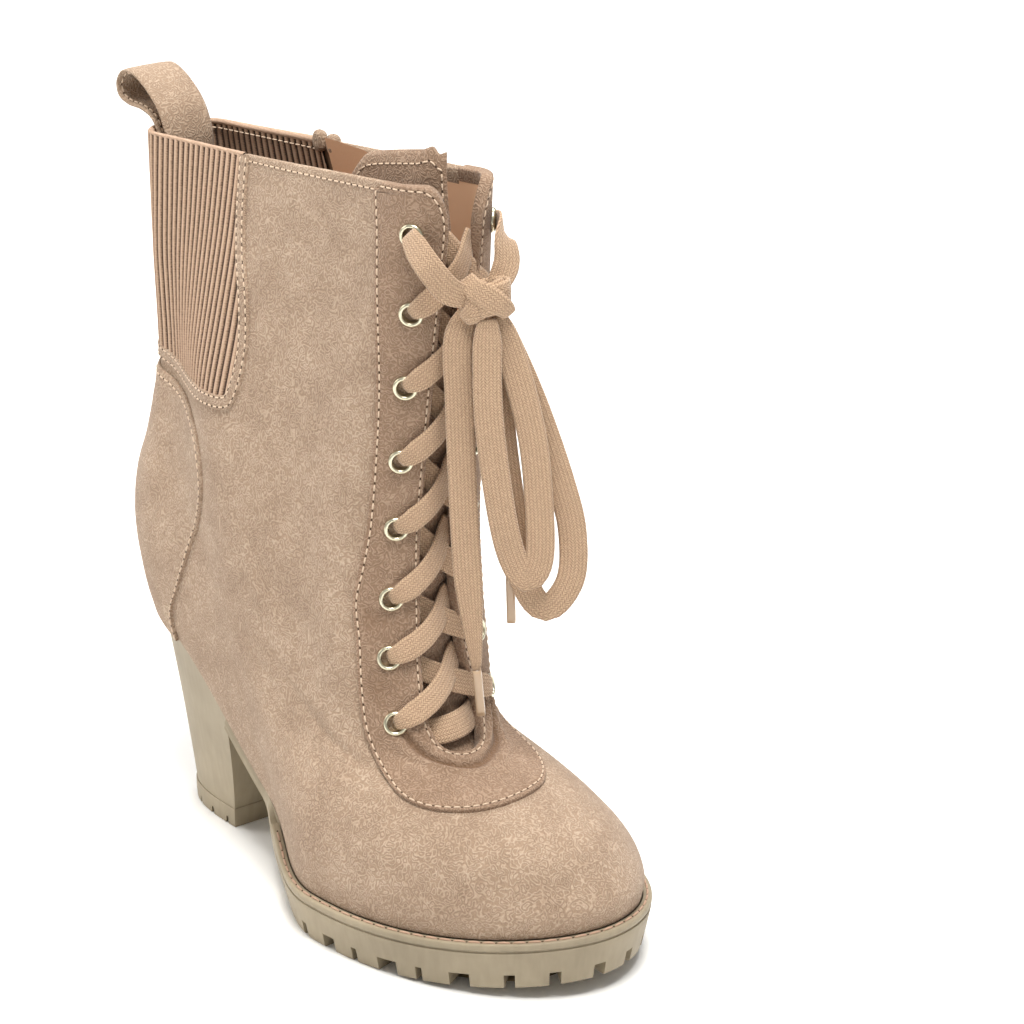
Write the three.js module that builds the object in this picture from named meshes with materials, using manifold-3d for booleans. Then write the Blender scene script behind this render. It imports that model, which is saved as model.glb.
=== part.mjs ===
// Right ankle boot with a tall block heel, a lugged platform sole, front lacing and a ribbed gore.
// Millimetres, +Z up, +X towards the toe, +Y towards the wearer's left, the inner side of this boot.
// The origin is the middle of the heel's underside, on the floor.
import * as THREE from 'three';
import { mergeVertices } from 'three/addons/utils/BufferGeometryUtils.js';
import Module from 'manifold-3d';

const wasm = await Module();
wasm.setup();

// Driving dimensions of the sole
const toeReach = 181.8; // from the heel's middle to the tip of the sole
const heelBulge = 41; // from the heel's middle back to the fullest point of the upper
const platformTop = 15.9; // top of the sole under the ball
const seatHeight = 69; // top of the heel under the wearer's heel
const archFront = 76; // where the sole starts to climb towards the heel
const archBack = -22; // where the climb levels out
const springRise = 6.3; // lift of the toe tip
const springLength = 70; // length over which the toe lifts
const weltLip = 3; // sole that shows around the foot of the upper
const weltThickness = 2; // strip that carries the row of stitches
const soleDraft = 2.9; // the tread is narrower than the top of the sole by this on each side
const grooveDepth = 0.7; // groove below the top strip
const waistThickness = 4.2; // sole between the platform and the heel
const platformBack = 66; // back end of the platform on the floor
const platformSlope = 15; // length of the slope behind the platform
const lugHeight = 4.6; // depth of the tread
const lugPitch = 14.6; // from one groove across the tread to the next
const notchReach = 11; // how far the wide notches run in under the sole
const slitReach = 6; // how far the slits run in
const crossGroove = 3; // width of the grooves across the middle of the tread

// Driving dimensions of the heel
const heelLength = 36; // length of the heel on the floor
const heelWidth = 39; // width of the heel on the floor
const liftHeight = 6.6; // rubber lift under the heel
const liftNotch = 1.4; // width of the slits in the lift
const liftNotchHeight = 2.6;
const liftNotchReach = 6;
const seatBack = 32; // back end of the heel's top
const seatFront = 24; // front end of the heel's top
const seatHalf = 26.2; // half width of the heel's top

// Driving dimensions of the upper
const ballHalf = 46.2; // half width of the upper at the ball, on its outer side
const vampHeight = 42; // height of the vamp above the sole
const collarFront = 236.5; // height of the collar at the front
const collarBack = 222.5; // and at the back
const wall = 2; // suede and lining together
const overlay = 1.1; // thickness of the facing and the counter on top of the upper
const gap = 0.3; // running gap between pieces that touch
const insoleThickness = 3;
const tongueThickness = 1.8;
const ribPitch = 5.6; // spacing of the ribs in the gore
const ribHeight = 0.7;
const goreThickness = 1.3;
const zipWidth = 6.4; // visible width of the zip
const zipFoot = 96; // height of the zip's lower end
const toothPitch = 6; // spacing of the ridges that stand for the zip's coil
const pullWidth = 18; // width of the pull strap
const pullThickness = 1.6;

// Driving dimensions of the lacing
const eyeletOuter = 3.8; // radius of an eyelet's flange
const eyeletHole = 2.5;
const eyeletProud = 0.8; // height of the flange above the facing
const laceWidth = 8.6;
const laceThickness = 1.5;
const agletRadius = 1.4; // tipped ends

// Values that follow from them
const upperReach = toeReach - weltLip;
const backReach = -heelBulge;
const ringCount = 44; // points around one ring
const topRow = 13; // number of the last row of the section table

// One row for each section, from the foot of the upper to the collar. front, ballAt and lead are
// shares of upperReach, back and heelAt of heelBulge, widths and sway of ballHalf. Levels run from
// 0 at the sole to 1 at vampHeight above it and 2 at the collar.
const columns = ['front', 'back', 'ballAt', 'lead', 'heelAt', 'ballOut', 'ballIn', 'waistOut',
  'waistIn', 'heelHalf', 'atFront', 'atBall', 'atWaist', 'atHeel', 'sway', 'round'];
const sections = [
  [0.999, 0.78, 0.550, 0.083, 0.10, 1.000, 0.972, 0.60, 0.500, 0.585, 0.00, 0.00, 0.00, 0.00, 0.10, 1.92],
  [1.006, 0.86, 0.550, 0.080, 0.10, 1.020, 0.955, 0.635, 0.55, 0.62, 0.16, 0.19, 0.17, 0.17, 0.10, 1.95],
  [0.983, 0.93, 0.545, 0.075, 0.12, 1.010, 0.915, 0.66, 0.595, 0.635, 0.34, 0.38, 0.36, 0.36, 0.09, 2],
  [0.942, 0.985, 0.53, 0.060, 0.15, 0.970, 0.835, 0.68, 0.630, 0.64, 0.55, 0.56, 0.57, 0.57, 0.05, 2.05],
  [0.865, 1.000, 0.52, 0.045, 0.18, 0.895, 0.730, 0.69, 0.645, 0.63, 0.74, 0.73, 0.77, 0.78, 0.02, 2.1],
  [0.780, 0.975, 0.51, 0.030, 0.22, 0.790, 0.650, 0.69, 0.650, 0.59, 0.86, 0.87, 0.96, 1.00, -0.03, 2.1],
  [0.722, 0.880, 0.50, 0.015, 0.28, 0.685, 0.600, 0.68, 0.655, 0.50, 0.92, 0.98, 1.07, 1.12, -0.07, 2.05],
  [0.665, 0.790, 0.485, 0.01, 0.34, 0.600, 0.600, 0.67, 0.660, 0.43, 0.99, 1.05, 1.16, 1.23, -0.12, 2],
  [0.617, 0.750, 0.46, 0.020, 0.38, 0.555, 0.640, 0.66, 0.660, 0.37, 1.11, 1.17, 1.27, 1.34, -0.12, 2],
  [0.587, 0.760, 0.435, 0.03, 0.41, 0.535, 0.645, 0.645, 0.645, 0.36, 1.24, 1.29, 1.375, 1.43, -0.09, 2],
  [0.580, 0.785, 0.425, 0.03, 0.43, 0.510, 0.630, 0.605, 0.605, 0.36, 1.40, 1.435, 1.50, 1.54, -0.05, 2],
  [0.597, 0.830, 0.45, 0.030, 0.46, 0.450, 0.550, 0.52, 0.530, 0.355, 1.60, 1.62, 1.66, 1.68, 0.00, 2],
  [0.624, 0.880, 0.51, 0.020, 0.52, 0.365, 0.425, 0.415, 0.425, 0.325, 1.80, 1.81, 1.835, 1.845, 0.03, 2],
  [0.652, 0.930, 0.56, 0.010, 0.60, 0.295, 0.325, 0.315, 0.325, 0.290, 2.00, 2.00, 2.00, 2.00, 0.045, 2],
];

const clamp = (value, low, high) => Math.min(high, Math.max(low, value));

function ease(share) {
  const s = clamp(share, 0, 1);
  return s * s * (3 - 2 * s);
}

// Cubic between two values with a slope at each end
function cubic(share, a, b, slopeA, slopeB, length) {
  const s2 = share * share;
  const s3 = s2 * share;
  const ends = a * (2 * s3 - 3 * s2 + 1) + b * (3 * s2 - 2 * s3);
  return ends + length * (slopeA * (s3 - 2 * s2 + share) + slopeB * (s3 - s2));
}

// Slope at a station between two steps, level wherever the steps turn
function between(stepA, stepB) {
  return stepA * stepB > 0 ? 2 * stepA * stepB / (stepA + stepB) : 0;
}

// Smooth curve through a few stations, without overshoot
function through(at, values, x) {
  const steps = at.slice(1).map((end, i) => (values[i + 1] - values[i]) / (end - at[i]));
  let i = 0;
  while (i < at.length - 2 && x > at[i + 1]) i += 1;
  const slopeA = i === 0 ? steps[0] : between(steps[i - 1], steps[i]);
  const slopeB = i === steps.length - 1 ? steps[i] : between(steps[i], steps[i + 1]);
  const length = at[i + 1] - at[i];
  return cubic((x - at[i]) / length, values[i], values[i + 1], slopeA, slopeB, length);
}

// Lift of the toe and height of the sole's top, where the upper stands
const spring = (x) => springRise * Math.max(0, (x - toeReach + springLength) / springLength) ** 2;
function seat(x) {
  const climb = ease((archFront - x) / (archFront - archBack));
  return platformTop + (seatHeight - platformTop) * climb + spring(x);
}

function collarLine(x) {
  const share = (x - backReach) / (0.65 * upperReach - backReach);
  return collarBack + (collarFront - collarBack) * share;
}

function levelHeight(x, level) {
  const foot = seat(x);
  const vamp = foot + vampHeight;
  return level < 1 ? foot + level * vampHeight : vamp + (collarLine(x) - vamp) * (level - 1);
}

// The section table at any height t between its rows, and a little past its last row
function sectionAt(t) {
  const i = clamp(Math.floor(t), 0, topRow - 1);
  const share = t - i;
  const row = (k) => sections[clamp(k, 0, topRow)];
  const values = columns.map((name, c) => {
    const step = row(i + 1)[c] - row(i)[c];
    if (share > 1) return row(i + 1)[c] + step * (share - 1);
    const slopeA = i === 0 ? step : (row(i + 1)[c] - row(i - 1)[c]) / 2;
    const slopeB = i === topRow - 1 ? step : (row(i + 2)[c] - row(i)[c]) / 2;
    return cubic(share, row(i)[c], row(i + 1)[c], slopeA, slopeB, 1);
  });
  return Object.fromEntries(columns.map((name, c) => [name, values[c]]));
}

// Point of the upper's outer face: u runs around from the toe over the outer side, t upwards
function skin(u, t) {
  const s = sectionAt(t);
  const front = s.front * upperReach;
  const back = -s.back * heelBulge;
  const x = back + (front - back) * (1 + Math.cos(u)) / 2;
  const side = Math.sin(u) >= 0 ? 1 : -1;
  const outer = side > 0;
  const ball = (s.ballAt + (outer ? 0 : s.lead)) * upperReach;
  const heel = -s.heelAt * heelBulge;
  const waist = (ball + heel) / 2;
  const ballWidth = (outer ? s.ballOut : s.ballIn) * ballHalf;
  const waistWidth = (outer ? s.waistOut : s.waistIn) * ballHalf;
  const heelHalf = s.heelHalf * ballHalf;
  const slope = between((waistWidth - heelHalf) / (waist - heel), (ballWidth - waistWidth) / (ball - waist));
  let half;
  if (x >= ball) {
    const share = clamp((front - x) / (front - ball), 0, 1);
    half = ballWidth * (1 - (1 - share) ** s.round) ** (1 / s.round);
  } else if (x <= heel) {
    half = heelHalf * Math.sqrt(1 - (1 - clamp((x - back) / (heel - back), 0, 1)) ** 2);
  } else if (x < waist) {
    half = cubic((x - heel) / (waist - heel), heelHalf, waistWidth, 0, slope, waist - heel);
  } else {
    half = cubic((x - waist) / (ball - waist), waistWidth, ballWidth, slope, 0, ball - waist);
  }
  const y = -side * half + s.sway * ballHalf * Math.exp((x - front) / 60);
  const middleBall = s.ballAt * upperReach;
  const stations = [back, heel, (middleBall + heel) / 2, middleBall, front];
  const level = through(stations, [s.atHeel, s.atHeel, s.atWaist, s.atBall, s.atFront], x);
  return new THREE.Vector3(x, y, levelHeight(x, level));
}

// The same point moved out along the surface's normal
function shell(u, t, out) {
  const step = 0.001;
  const along = skin(u + step, t).sub(skin(u - step, t));
  const up = skin(u, t + 0.01).sub(skin(u, Math.max(t - 0.01, 0)));
  const normal = up.cross(along).normalize();
  return skin(u, t).addScaledVector(normal, out);
}

// Angle u at a distance around the ring from its front, positive on the outer side
function around(t, distance) {
  const step = 0.02 * Math.sign(distance);
  let u = 0;
  let run = 0;
  let last = skin(0, t);
  while (run < Math.abs(distance) && Math.abs(u) < Math.PI) {
    const next = skin(u + step, t);
    const length = next.distanceTo(last);
    if (run + length > Math.abs(distance)) return u + step * (Math.abs(distance) - run) / length;
    run += length;
    u += step;
    last = next;
  }
  return u;
}

// Height t at which the ring passes a height z, at the angle u
function rowAt(u, z) {
  let low = 0;
  let high = topRow + 1;
  for (let i = 0; i < 24; i += 1) {
    const middle = (low + high) / 2;
    if (skin(u, middle).z < z) low = middle;
    else high = middle;
  }
  return (low + high) / 2;
}

// Closed mesh from points and triangles; thin slivers of no area are left out
function toGeometry(points, triangles) {
  const geometry = new THREE.BufferGeometry();
  geometry.setAttribute('position', new THREE.Float32BufferAttribute(points.flatMap((p) => p.toArray()), 3));
  geometry.setIndex(triangles.filter((t) => new Set(t).size === 3).flat());
  return geometry;
}

// Solid from rings of equally many points: a pile with two ends, or a wall closed on itself, whose
// second face is split along the same diagonals as its first
function pile(rings, closed = false) {
  const count = rings[0].length;
  const points = rings.flat();
  const triangles = [];
  const at = (ring, i) => (ring % rings.length) * count + (i % count);
  for (let r = 0; r < rings.length - (closed ? 0 : 1); r += 1) {
    const second = closed && r >= rings.length / 2;
    for (let i = 0; i < count; i += 1) {
      const [a, b, c, d] = [at(r, i), at(r, i + 1), at(r + 1, i + 1), at(r + 1, i)];
      if (second) triangles.push([a, b, d], [b, c, d]);
      else triangles.push([a, b, c], [a, c, d]);
    }
  }
  if (!closed) {
    const top = rings.length - 1;
    for (let i = 0; i < count / 2; i += 1) {
      const other = count - i;
      triangles.push([at(0, i), at(0, other), at(0, i + 1)], [at(0, i + 1), at(0, other), at(0, other - 1)]);
      triangles.push([at(top, i), at(top, i + 1), at(top, other)]);
      triangles.push([at(top, i + 1), at(top, other - 1), at(top, other)]);
    }
  }
  return toGeometry(points, triangles);
}

// Solid between two faces of the shell, over a patch of the upper: where(a, b) gives u and t
function patch(where, stepsA, stepsB, inner, outer) {
  const rings = [];
  for (let b = 0; b <= stepsB; b += 1) {
    const ring = [];
    for (let a = 0; a <= stepsA; a += 1) {
      const [u, t] = where(a / stepsA, b / stepsB);
      ring.push(shell(u, t, outer(a / stepsA, b / stepsB)));
    }
    for (let a = stepsA; a >= 0; a -= 1) {
      const [u, t] = where(a / stepsA, b / stepsB);
      ring.push(shell(u, t, inner(a / stepsA, b / stepsB)));
    }
    rings.push(ring);
  }
  const count = 2 * (stepsA + 1);
  const points = rings.flat();
  const triangles = [];
  for (let b = 0; b < stepsB; b += 1) {
    for (let i = 0; i < count; i += 1) {
      const j = (i + 1) % count;
      triangles.push([b * count + i, b * count + j, (b + 1) * count + j]);
      triangles.push([b * count + i, (b + 1) * count + j, (b + 1) * count + i]);
    }
  }
  const top = stepsB * count;
  for (let a = 0; a < stepsA; a += 1) {
    const back = count - 1 - a;
    triangles.push([a, back, a + 1], [a + 1, back, back - 1]);
    triangles.push([top + a, top + a + 1, top + back], [top + a + 1, top + back - 1, top + back]);
  }
  return toGeometry(points, triangles);
}

// Solids for cutting and joining, turned so that their faces point out
function toSolid(geometry) {
  const bare = geometry.clone();
  bare.deleteAttribute('normal');
  bare.deleteAttribute('uv');
  const merged = mergeVertices(bare, 0.0001);
  const corners = Array.from(merged.index.array);
  const triangles = [];
  for (let i = 0; i < corners.length; i += 3) {
    const [a, b, c] = corners.slice(i, i + 3);
    if (a !== b && b !== c && c !== a) triangles.push([a, b, c]);
  }
  const place = merged.attributes.position;
  const point = (i) => new THREE.Vector3().fromBufferAttribute(place, i);
  const volume = triangles.reduce((sum, [a, b, c]) => sum + point(a).dot(point(b).cross(point(c))), 0);
  const outward = volume > 0 ? triangles : triangles.map(([a, b, c]) => [a, c, b]);
  return new wasm.Manifold(new wasm.Mesh({
    numProp: 3,
    vertProperties: new Float32Array(place.array),
    triVerts: new Uint32Array(outward.flat()),
  }));
}

function fromSolid(solid) {
  const mesh = solid.getMesh();
  const geometry = new THREE.BufferGeometry();
  geometry.setAttribute('position', new THREE.BufferAttribute(new Float32Array(mesh.vertProperties), 3));
  geometry.setIndex(Array.from(mesh.triVerts));
  return geometry;
}

const boot = new THREE.Group();

function add(name, solid, finish) {
  const mesh = new THREE.Mesh(fromSolid(solid), new THREE.MeshStandardMaterial(finish));
  mesh.name = name;
  boot.add(mesh);
}

const suede = { color: 0xb09880, roughness: 0.95, metalness: 0 };
const lining = { color: 0xb5906f, roughness: 0.7, metalness: 0 };
const elastic = { color: 0xa88c72, roughness: 0.9, metalness: 0 };
const soleRubber = { color: 0x93876f, roughness: 0.7, metalness: 0 };
const cotton = { color: 0xc0a183, roughness: 0.95, metalness: 0 };
const eyeletMetal = { color: 0xd8d2b8, roughness: 0.25, metalness: 1 };
const zipBronze = { color: 0x7a5a3c, roughness: 0.4, metalness: 0.8 };

// Sole

const ringAngle = (i) => {
  const v = 2 * Math.PI * i / ringCount;
  return v + 0.18 * Math.sin(2 * v);
};

// Foot of the upper seen from above, moved out by a lip, at a height worked out from x
function footRing(lip, height) {
  const ring = [];
  for (let i = 0; i < ringCount; i += 1) {
    const u = ringAngle(i);
    const here = skin(u, 0);
    const along = skin(u + 0.001, 0).sub(skin(u - 0.001, 0));
    const out = new THREE.Vector3(-along.y, along.x, 0).normalize().multiplyScalar(lip(here.x));
    ring.push(new THREE.Vector3(here.x + out.x, here.y + out.y, height(here.x)));
  }
  return ring;
}

const soleTop = (x) => seat(x) - gap;
// Underside: flat and sprung under the forefoot, then up the slope to the waist
function underside(x) {
  const waist = soleTop(x) - waistThickness;
  return THREE.MathUtils.lerp(waist, spring(x), ease((x - platformBack + platformSlope) / platformSlope));
}
// Lip of the sole around the foot of the upper: it runs out behind the platform
const lipStart = platformBack - platformSlope;
const lip = (x) => weltLip * ease((x - lipStart + 6) / 14);

function boxAt(x, y, z, width, depth, height) {
  const box = new THREE.BoxGeometry(width, depth, height);
  box.translate(x, y, z);
  return toSolid(box);
}

const draft = (x) => soleDraft * ease((x - lipStart) / platformSlope);
const groove = (x) => Math.min(0, lip(x) - grooveDepth - 0.2);
let outsole = toSolid(pile([
  footRing((x) => lip(x) - draft(x), underside),
  footRing((x) => lip(x) - 0.2, (x) => soleTop(x) - weltThickness - 0.9),
  footRing((x) => lip(x) - 0.2 - grooveDepth * ease((x - lipStart) / 10), (x) => soleTop(x) - weltThickness - 0.7),
  footRing((x) => lip(x) - 0.2 - grooveDepth * ease((x - lipStart) / 10), (x) => soleTop(x) - weltThickness - gap),
  footRing((x) => Math.min(groove(x), lip(x) - 0.4), (x) => soleTop(x) - weltThickness * ease((x - lipStart) / 4) - gap),
  footRing((x) => Math.min(groove(x), lip(x) - 0.4), soleTop),
]));
outsole = outsole.subtract(boxAt(seatFront + gap - 100, 0, 50, 200, 200, 200));

// Notches in the tread, cut in from its edge: wide ones with slits between them
function notch(u, width, reach) {
  const here = skin(u, 0);
  const along = skin(u + 0.001, 0).sub(skin(u - 0.001, 0)).setZ(0).normalize();
  const out = new THREE.Vector3(-along.y, along.x, 0);
  const shape = new THREE.Shape();
  shape.moveTo(-width / 2 - 0.5, 0);
  shape.lineTo(width / 2 + 0.5, 0);
  shape.lineTo(width / 2 - 0.2, lugHeight + 12);
  shape.lineTo(-width / 2 + 0.2, lugHeight + 12);
  const cutter = new THREE.ExtrudeGeometry(shape, { depth: reach + weltLip + 4, bevelEnabled: false });
  const matrix = new THREE.Matrix4().makeBasis(along, new THREE.Vector3(0, 0, 1), out);
  const inner = here.clone().addScaledVector(out, -reach);
  matrix.setPosition(inner.x, inner.y, spring(here.x) - 12);
  cutter.applyMatrix4(matrix);
  return toSolid(cutter);
}

// Notches: distance from the toe along the foot of the upper (positive on the outer side) and width
const notches = [[2.8, 3.8], [16.5, 3.5], [30.1, 3.3], [45.6, 6.5], [59, 2.1], [70.4, 7.1], [83.3, 2.1],
  [94.3, 5.1], [106.5, 2.6], [127.5, 5], [-9.5, 3.4], [-22, 3.5], [-34.5, 3.5], [-47.5, 6.5], [-60.5, 2.1],
  [-72, 7], [-84.5, 2.1], [-96, 5], [-108, 2.6], [-126, 5]];
for (const [distance, width] of notches) {
  outsole = outsole.subtract(notch(around(0, distance), width, width > 3 ? notchReach : slitReach));
}
const treadFront = toeReach - springLength / 2;
for (let x = platformBack + lugPitch; x < treadFront; x += lugPitch) {
  const across = boxAt(x, 0, 0, crossGroove, ballHalf, lugHeight * 1.2);
  outsole = outsole.subtract(across);
}
add('outsole', outsole, soleRubber);

// Strip that carries the welt stitches, around the platform only
const weltOut = (x) => Math.max(lip(x), 1.2);
const welt = toSolid(pile([
  footRing(weltOut, (x) => soleTop(x) - weltThickness),
  footRing(weltOut, soleTop),
  footRing(() => gap, soleTop),
  footRing(() => gap, (x) => soleTop(x) - weltThickness),
], true)).subtract(boxAt(lipStart + 7 - 100, 0, 50, 200, 200, 200));
add('welt', welt, { ...soleRubber, color: 0xa99678 });

// Heel: a flat breast in front and a round back, from the lift up to the sloping seat
function heelRing(front, back, half, height) {
  const ring = [new THREE.Vector3(front, 0, height(front))];
  const steps = 8;
  for (let j = 0; j <= 2 * steps; j += 1) {
    const outer = j <= steps;
    const turn = (outer ? j : 2 * steps - j) / steps;
    const share = Math.sin(turn * Math.PI / 2);
    const x = front + (back - front) * share;
    const y = half * (1 - share ** 2.8) ** (1 / 2.8);
    ring.push(new THREE.Vector3(x, outer ? -y : y, height(x)));
  }
  return ring;
}
const heelBottom = (grow, height) => heelRing(heelLength / 2 + grow, -heelLength / 2 - grow, heelWidth / 2 + grow, height);
const heelTop = heelRing(seatFront, -seatBack + 0.6, seatHalf, soleTop);
const heelFoot = heelBottom(0, () => liftHeight + gap);
const heelMiddle = heelFoot.map((p, i) => p.clone().lerp(heelTop[i], 0.5));
heelMiddle.forEach((p) => p.setX(p.x + 1));
add('heel', toSolid(pile([heelFoot, heelMiddle, heelTop])), soleRubber);

let lift = toSolid(pile([heelBottom(0, () => 0), heelBottom(0.4, () => liftHeight)]));
for (const share of [-3, -1, 1, 3]) {
  for (const side of [1, -1]) {
    const y = side * heelWidth / 2;
    lift = lift.subtract(boxAt(share * heelLength / 8, y, 0, liftNotch, 2 * liftNotchReach, 2 * liftNotchHeight));
  }
}
add('heel_lift', lift, soleRubber);

add('insole', toSolid(pile([
  footRing(() => -wall - 0.5, (x) => seat(x) + gap),
  footRing(() => -wall - 0.5, (x) => seat(x) + insoleThickness),
])), lining);

// Upper

const rows = [0, 0.7, 1.5, 2.3, 3.2, 4.2, 5.3, 6.3, 7.2, 8.2, 9.3, 10.4, 11.5, 12.3, 13];
function band(inner, outer, start = 0) {
  const ring = (t, out) => Array.from({ length: ringCount }, (_, i) => shell(ringAngle(i), t, out));
  const kept = rows.filter((t) => t >= start);
  const outside = kept.map((t) => ring(t, outer));
  const inside = kept.map((t) => ring(t, inner)).reverse();
  return toSolid(pile([...outside, ...inside], true));
}

// Throat: its middle and half width along the surface, by row; the table is read from foot to collar
const throatRows = [6.85, 7.4, 8.2, 9.2, 11, 12.6];
const throatMiddle = [-2.5, -4.2, -3, -2.4, -1.5, 0];
const throatHalf = [10.5, 10.5, 8.4, 6.6, 6.4, 5.2];
const throatFoot = throatRows[0];
const cornerRadius = 9;
function throatEdge(t, side, grow = 0) {
  const row = Math.min(t, throatRows.at(-1));
  const opening = Math.sqrt(1 - (1 - clamp((t - throatFoot) / 0.5, 0, 1)) ** 2);
  const top = clamp((t - 12.6) / 0.4, 0, 1);
  const corner = cornerRadius * (1 - Math.sqrt(1 - top * top));
  const half = through(throatRows, throatHalf, row) * opening + corner + grow;
  return through(throatRows, throatMiddle, row) + side * half;
}
function throatCutter(inner, outer, grow = 0) {
  const where = (a, b) => {
    const t = throatFoot + (topRow + 0.6 - throatFoot) * b ** 1.6;
    return [around(t, THREE.MathUtils.lerp(throatEdge(t, -1, grow), throatEdge(t, 1, grow), a)), t];
  };
  return toSolid(patch(where, 4, 15, () => inner, () => outer));
}

// Point on one side of the boot, seen from that side: the angle and row at a place x and a height z
function onSide(x, z, side) {
  let t = topRow / 2;
  let u = side;
  for (let i = 0; i < 8; i += 1) {
    const s = sectionAt(t);
    const front = s.front * upperReach;
    const back = -s.back * heelBulge;
    u = side * Math.acos(clamp(2 * (x - back) / (front - back) - 1, -1, 1));
    t = rowAt(u, z);
  }
  return [u, t];
}

// Side view of an opening or overlay, as a solid right through the boot from side to side
function sideCut(outline, from = -80, to = 80) {
  const shape = new THREE.Shape(outline.map(([x, z]) => new THREE.Vector2(x, z)));
  const cutter = new THREE.ExtrudeGeometry(shape, { depth: to - from, bevelEnabled: false });
  cutter.rotateX(Math.PI / 2);
  cutter.translate(0, to, 0);
  return toSolid(cutter);
}

// Gore: its front edge and its foot in the side view, as places x and heights z
const goreFoot = 154; // lowest point of the gore
const goreFront = 35; // its most forward point
function goreOutline(inset) {
  const x = goreFront - inset;
  const z = goreFoot + inset;
  return [[x - 9.5, 260], [x - 9, 232], [x - 7, 214], [x - 4, 200], [x - 1, 186], [x, 174], [x - 0.8, 166],
    [x - 4, 160], [x - 9, z + 3.6], [x - 18, z + 2.4], [x - 28, z + 0.4], [x - 36, z], [x - 52, z + 2.6],
    [x - 68, z + 4.6], [-90, z + 5], [-90, 260]];
}

// Zip: middle line in the side view, on the inner side, along the front edge of the gore
const zipHeights = [zipFoot, 130, 170, 200, 236];
const zipPlaces = [41, 40.5, 37.4, 32.9, 27.6];
function zipPatch(width, foot, top, inner, outer, stepsA, stepsB) {
  const where = (a, b) => {
    const z = THREE.MathUtils.lerp(foot, top, b);
    return onSide(through(zipHeights, zipPlaces, clamp(z, zipFoot, 236)) + (a - 0.5) * width, z, -1);
  };
  return toSolid(patch(where, stepsA, stepsB, inner, outer));
}
const collarAtZip = collarLine(zipPlaces.at(-1));
const zipSlot = zipPatch(zipWidth + 2 * gap, zipFoot - gap, collarAtZip + 8, () => -7, () => 7, 1, 12);

// Eyelets: row and distance from the ring's front on the outer side, from the top one down
const eyeletRows = [12.58, 11.9, 11.25, 10.6, 9.98, 9.2, 8.43, 7.53];
const eyeletPlaces = [15.3, 13.4, 12.9, 12.1, 11.8, 12.9, 14.7, 16.2];
function eyeletPlace(k, side) {
  const t = eyeletRows[k];
  const middle = through(throatRows, throatMiddle, Math.min(t, throatRows.at(-1)));
  return side > 0 ? eyeletPlaces[k] : 2 * middle - eyeletPlaces[k];
}
function eyeletFrame(k, side) {
  const t = eyeletRows[k];
  const u = around(t, eyeletPlace(k, side));
  const centre = skin(u, t);
  const normal = shell(u, t, 1).sub(centre).normalize();
  const turn = new THREE.Quaternion().setFromUnitVectors(new THREE.Vector3(0, 1, 0), normal);
  return new THREE.Matrix4().compose(centre, turn, new THREE.Vector3(1, 1, 1));
}
function eyeletHoleCutter(k, side) {
  const hole = new THREE.CylinderGeometry(eyeletHole + 0.7, eyeletHole + 0.7, 12, 8);
  hole.applyMatrix4(eyeletFrame(k, side));
  return toSolid(hole);
}

const facingTop = overlay + gap;
let upper = band(-wall, 0);
let facing = band(gap, facingTop, 4.2);

// Facing: a panel around the eyelets that ends in a round apron on the vamp
const apronRows = [4.5, 4.62, 4.9, 5.3, 6, 6.9, 7.6, 8.5, 9.1, 10, 11.3, 12, 13.6];
const apronPlaces = [14, 24, 31, 33.5, 31.8, 27.6, 27.3, 24.8, 25, 20.6, 22.4, 26, 32.5];
const apronInner = [-4, -14, -24, -29, -32, -34, -34, -30, -29, -25, -25, -27, -32.5];
const apronWhere = (a, b) => {
  const t = apronRows[0] + (apronRows.at(-1) - apronRows[0]) * b ** 1.5;
  const outer = through(apronRows, apronPlaces, t);
  const inner = through(apronRows, apronInner, t);
  return [around(t, THREE.MathUtils.lerp(inner, outer, a)), t];
};
facing = facing.intersect(toSolid(patch(apronWhere, 6, 12, () => -3, () => 6)));

const throat = throatCutter(-8, 7);
upper = upper.subtract(throat).subtract(sideCut(goreOutline(0))).subtract(zipSlot);
facing = facing.subtract(throatCutter(-2, 6, 0.2));
for (let k = 0; k < eyeletRows.length; k += 1) {
  for (const side of [1, -1]) {
    const hole = eyeletHoleCutter(k, side);
    upper = upper.subtract(hole);
    facing = facing.subtract(hole);
  }
}
add('upper', upper, suede);
add('facing', facing, suede);

// Counter: an overlay around the heel, below the gore
const counterOutline = [[-90, goreFoot - 3], [-34, goreFoot - 2], [-14, goreFoot - 5], [4, 143], [15, 138],
  [19.5, 131], [20.5, 121], [16.7, 111], [11.5, 100], [8, 91], [4, 82], [0, 75], [-1, 69], [0, 58], [0, 40],
  [-90, 40]];
add('heel_counter', band(gap, overlay).intersect(sideCut(counterOutline)), suede);

// Gore: ribbed elastic from the outer side around the back to the zip
const goreStart = 1.35;
const goreEnd = 2 * Math.PI - 1.1;
const goreLength = 182;
const ribs = Math.round(goreLength / ribPitch);
const goreWhere = (a, b) => [THREE.MathUtils.lerp(goreStart, goreEnd, a), THREE.MathUtils.lerp(8.2, topRow, b)];
const ribbed = (a) => (Math.round(a * 2 * ribs) % 2 ? ribHeight : 0) - 0.2;
let gore = toSolid(patch(goreWhere, 2 * ribs, 3, () => -goreThickness, ribbed));
gore = gore.intersect(sideCut(goreOutline(gap))).subtract(zipSlot);
add('gore', gore, elastic);

// Zip: tape with a ridged coil along its middle, and the slider at its top end
const zipTop = collarAtZip - 1;
const teeth = Math.round((zipTop - zipFoot) / toothPitch);
const coil = (a, b) => {
  const raised = a > 0.2 && a < 0.8;
  return raised ? (Math.round(b * 2 * teeth) % 2 ? 0.5 : -0.1) : -0.9;
};
add('zip', zipPatch(zipWidth, zipFoot, zipTop, () => -1.5, coil, 3, 2 * teeth), zipBronze);

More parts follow.
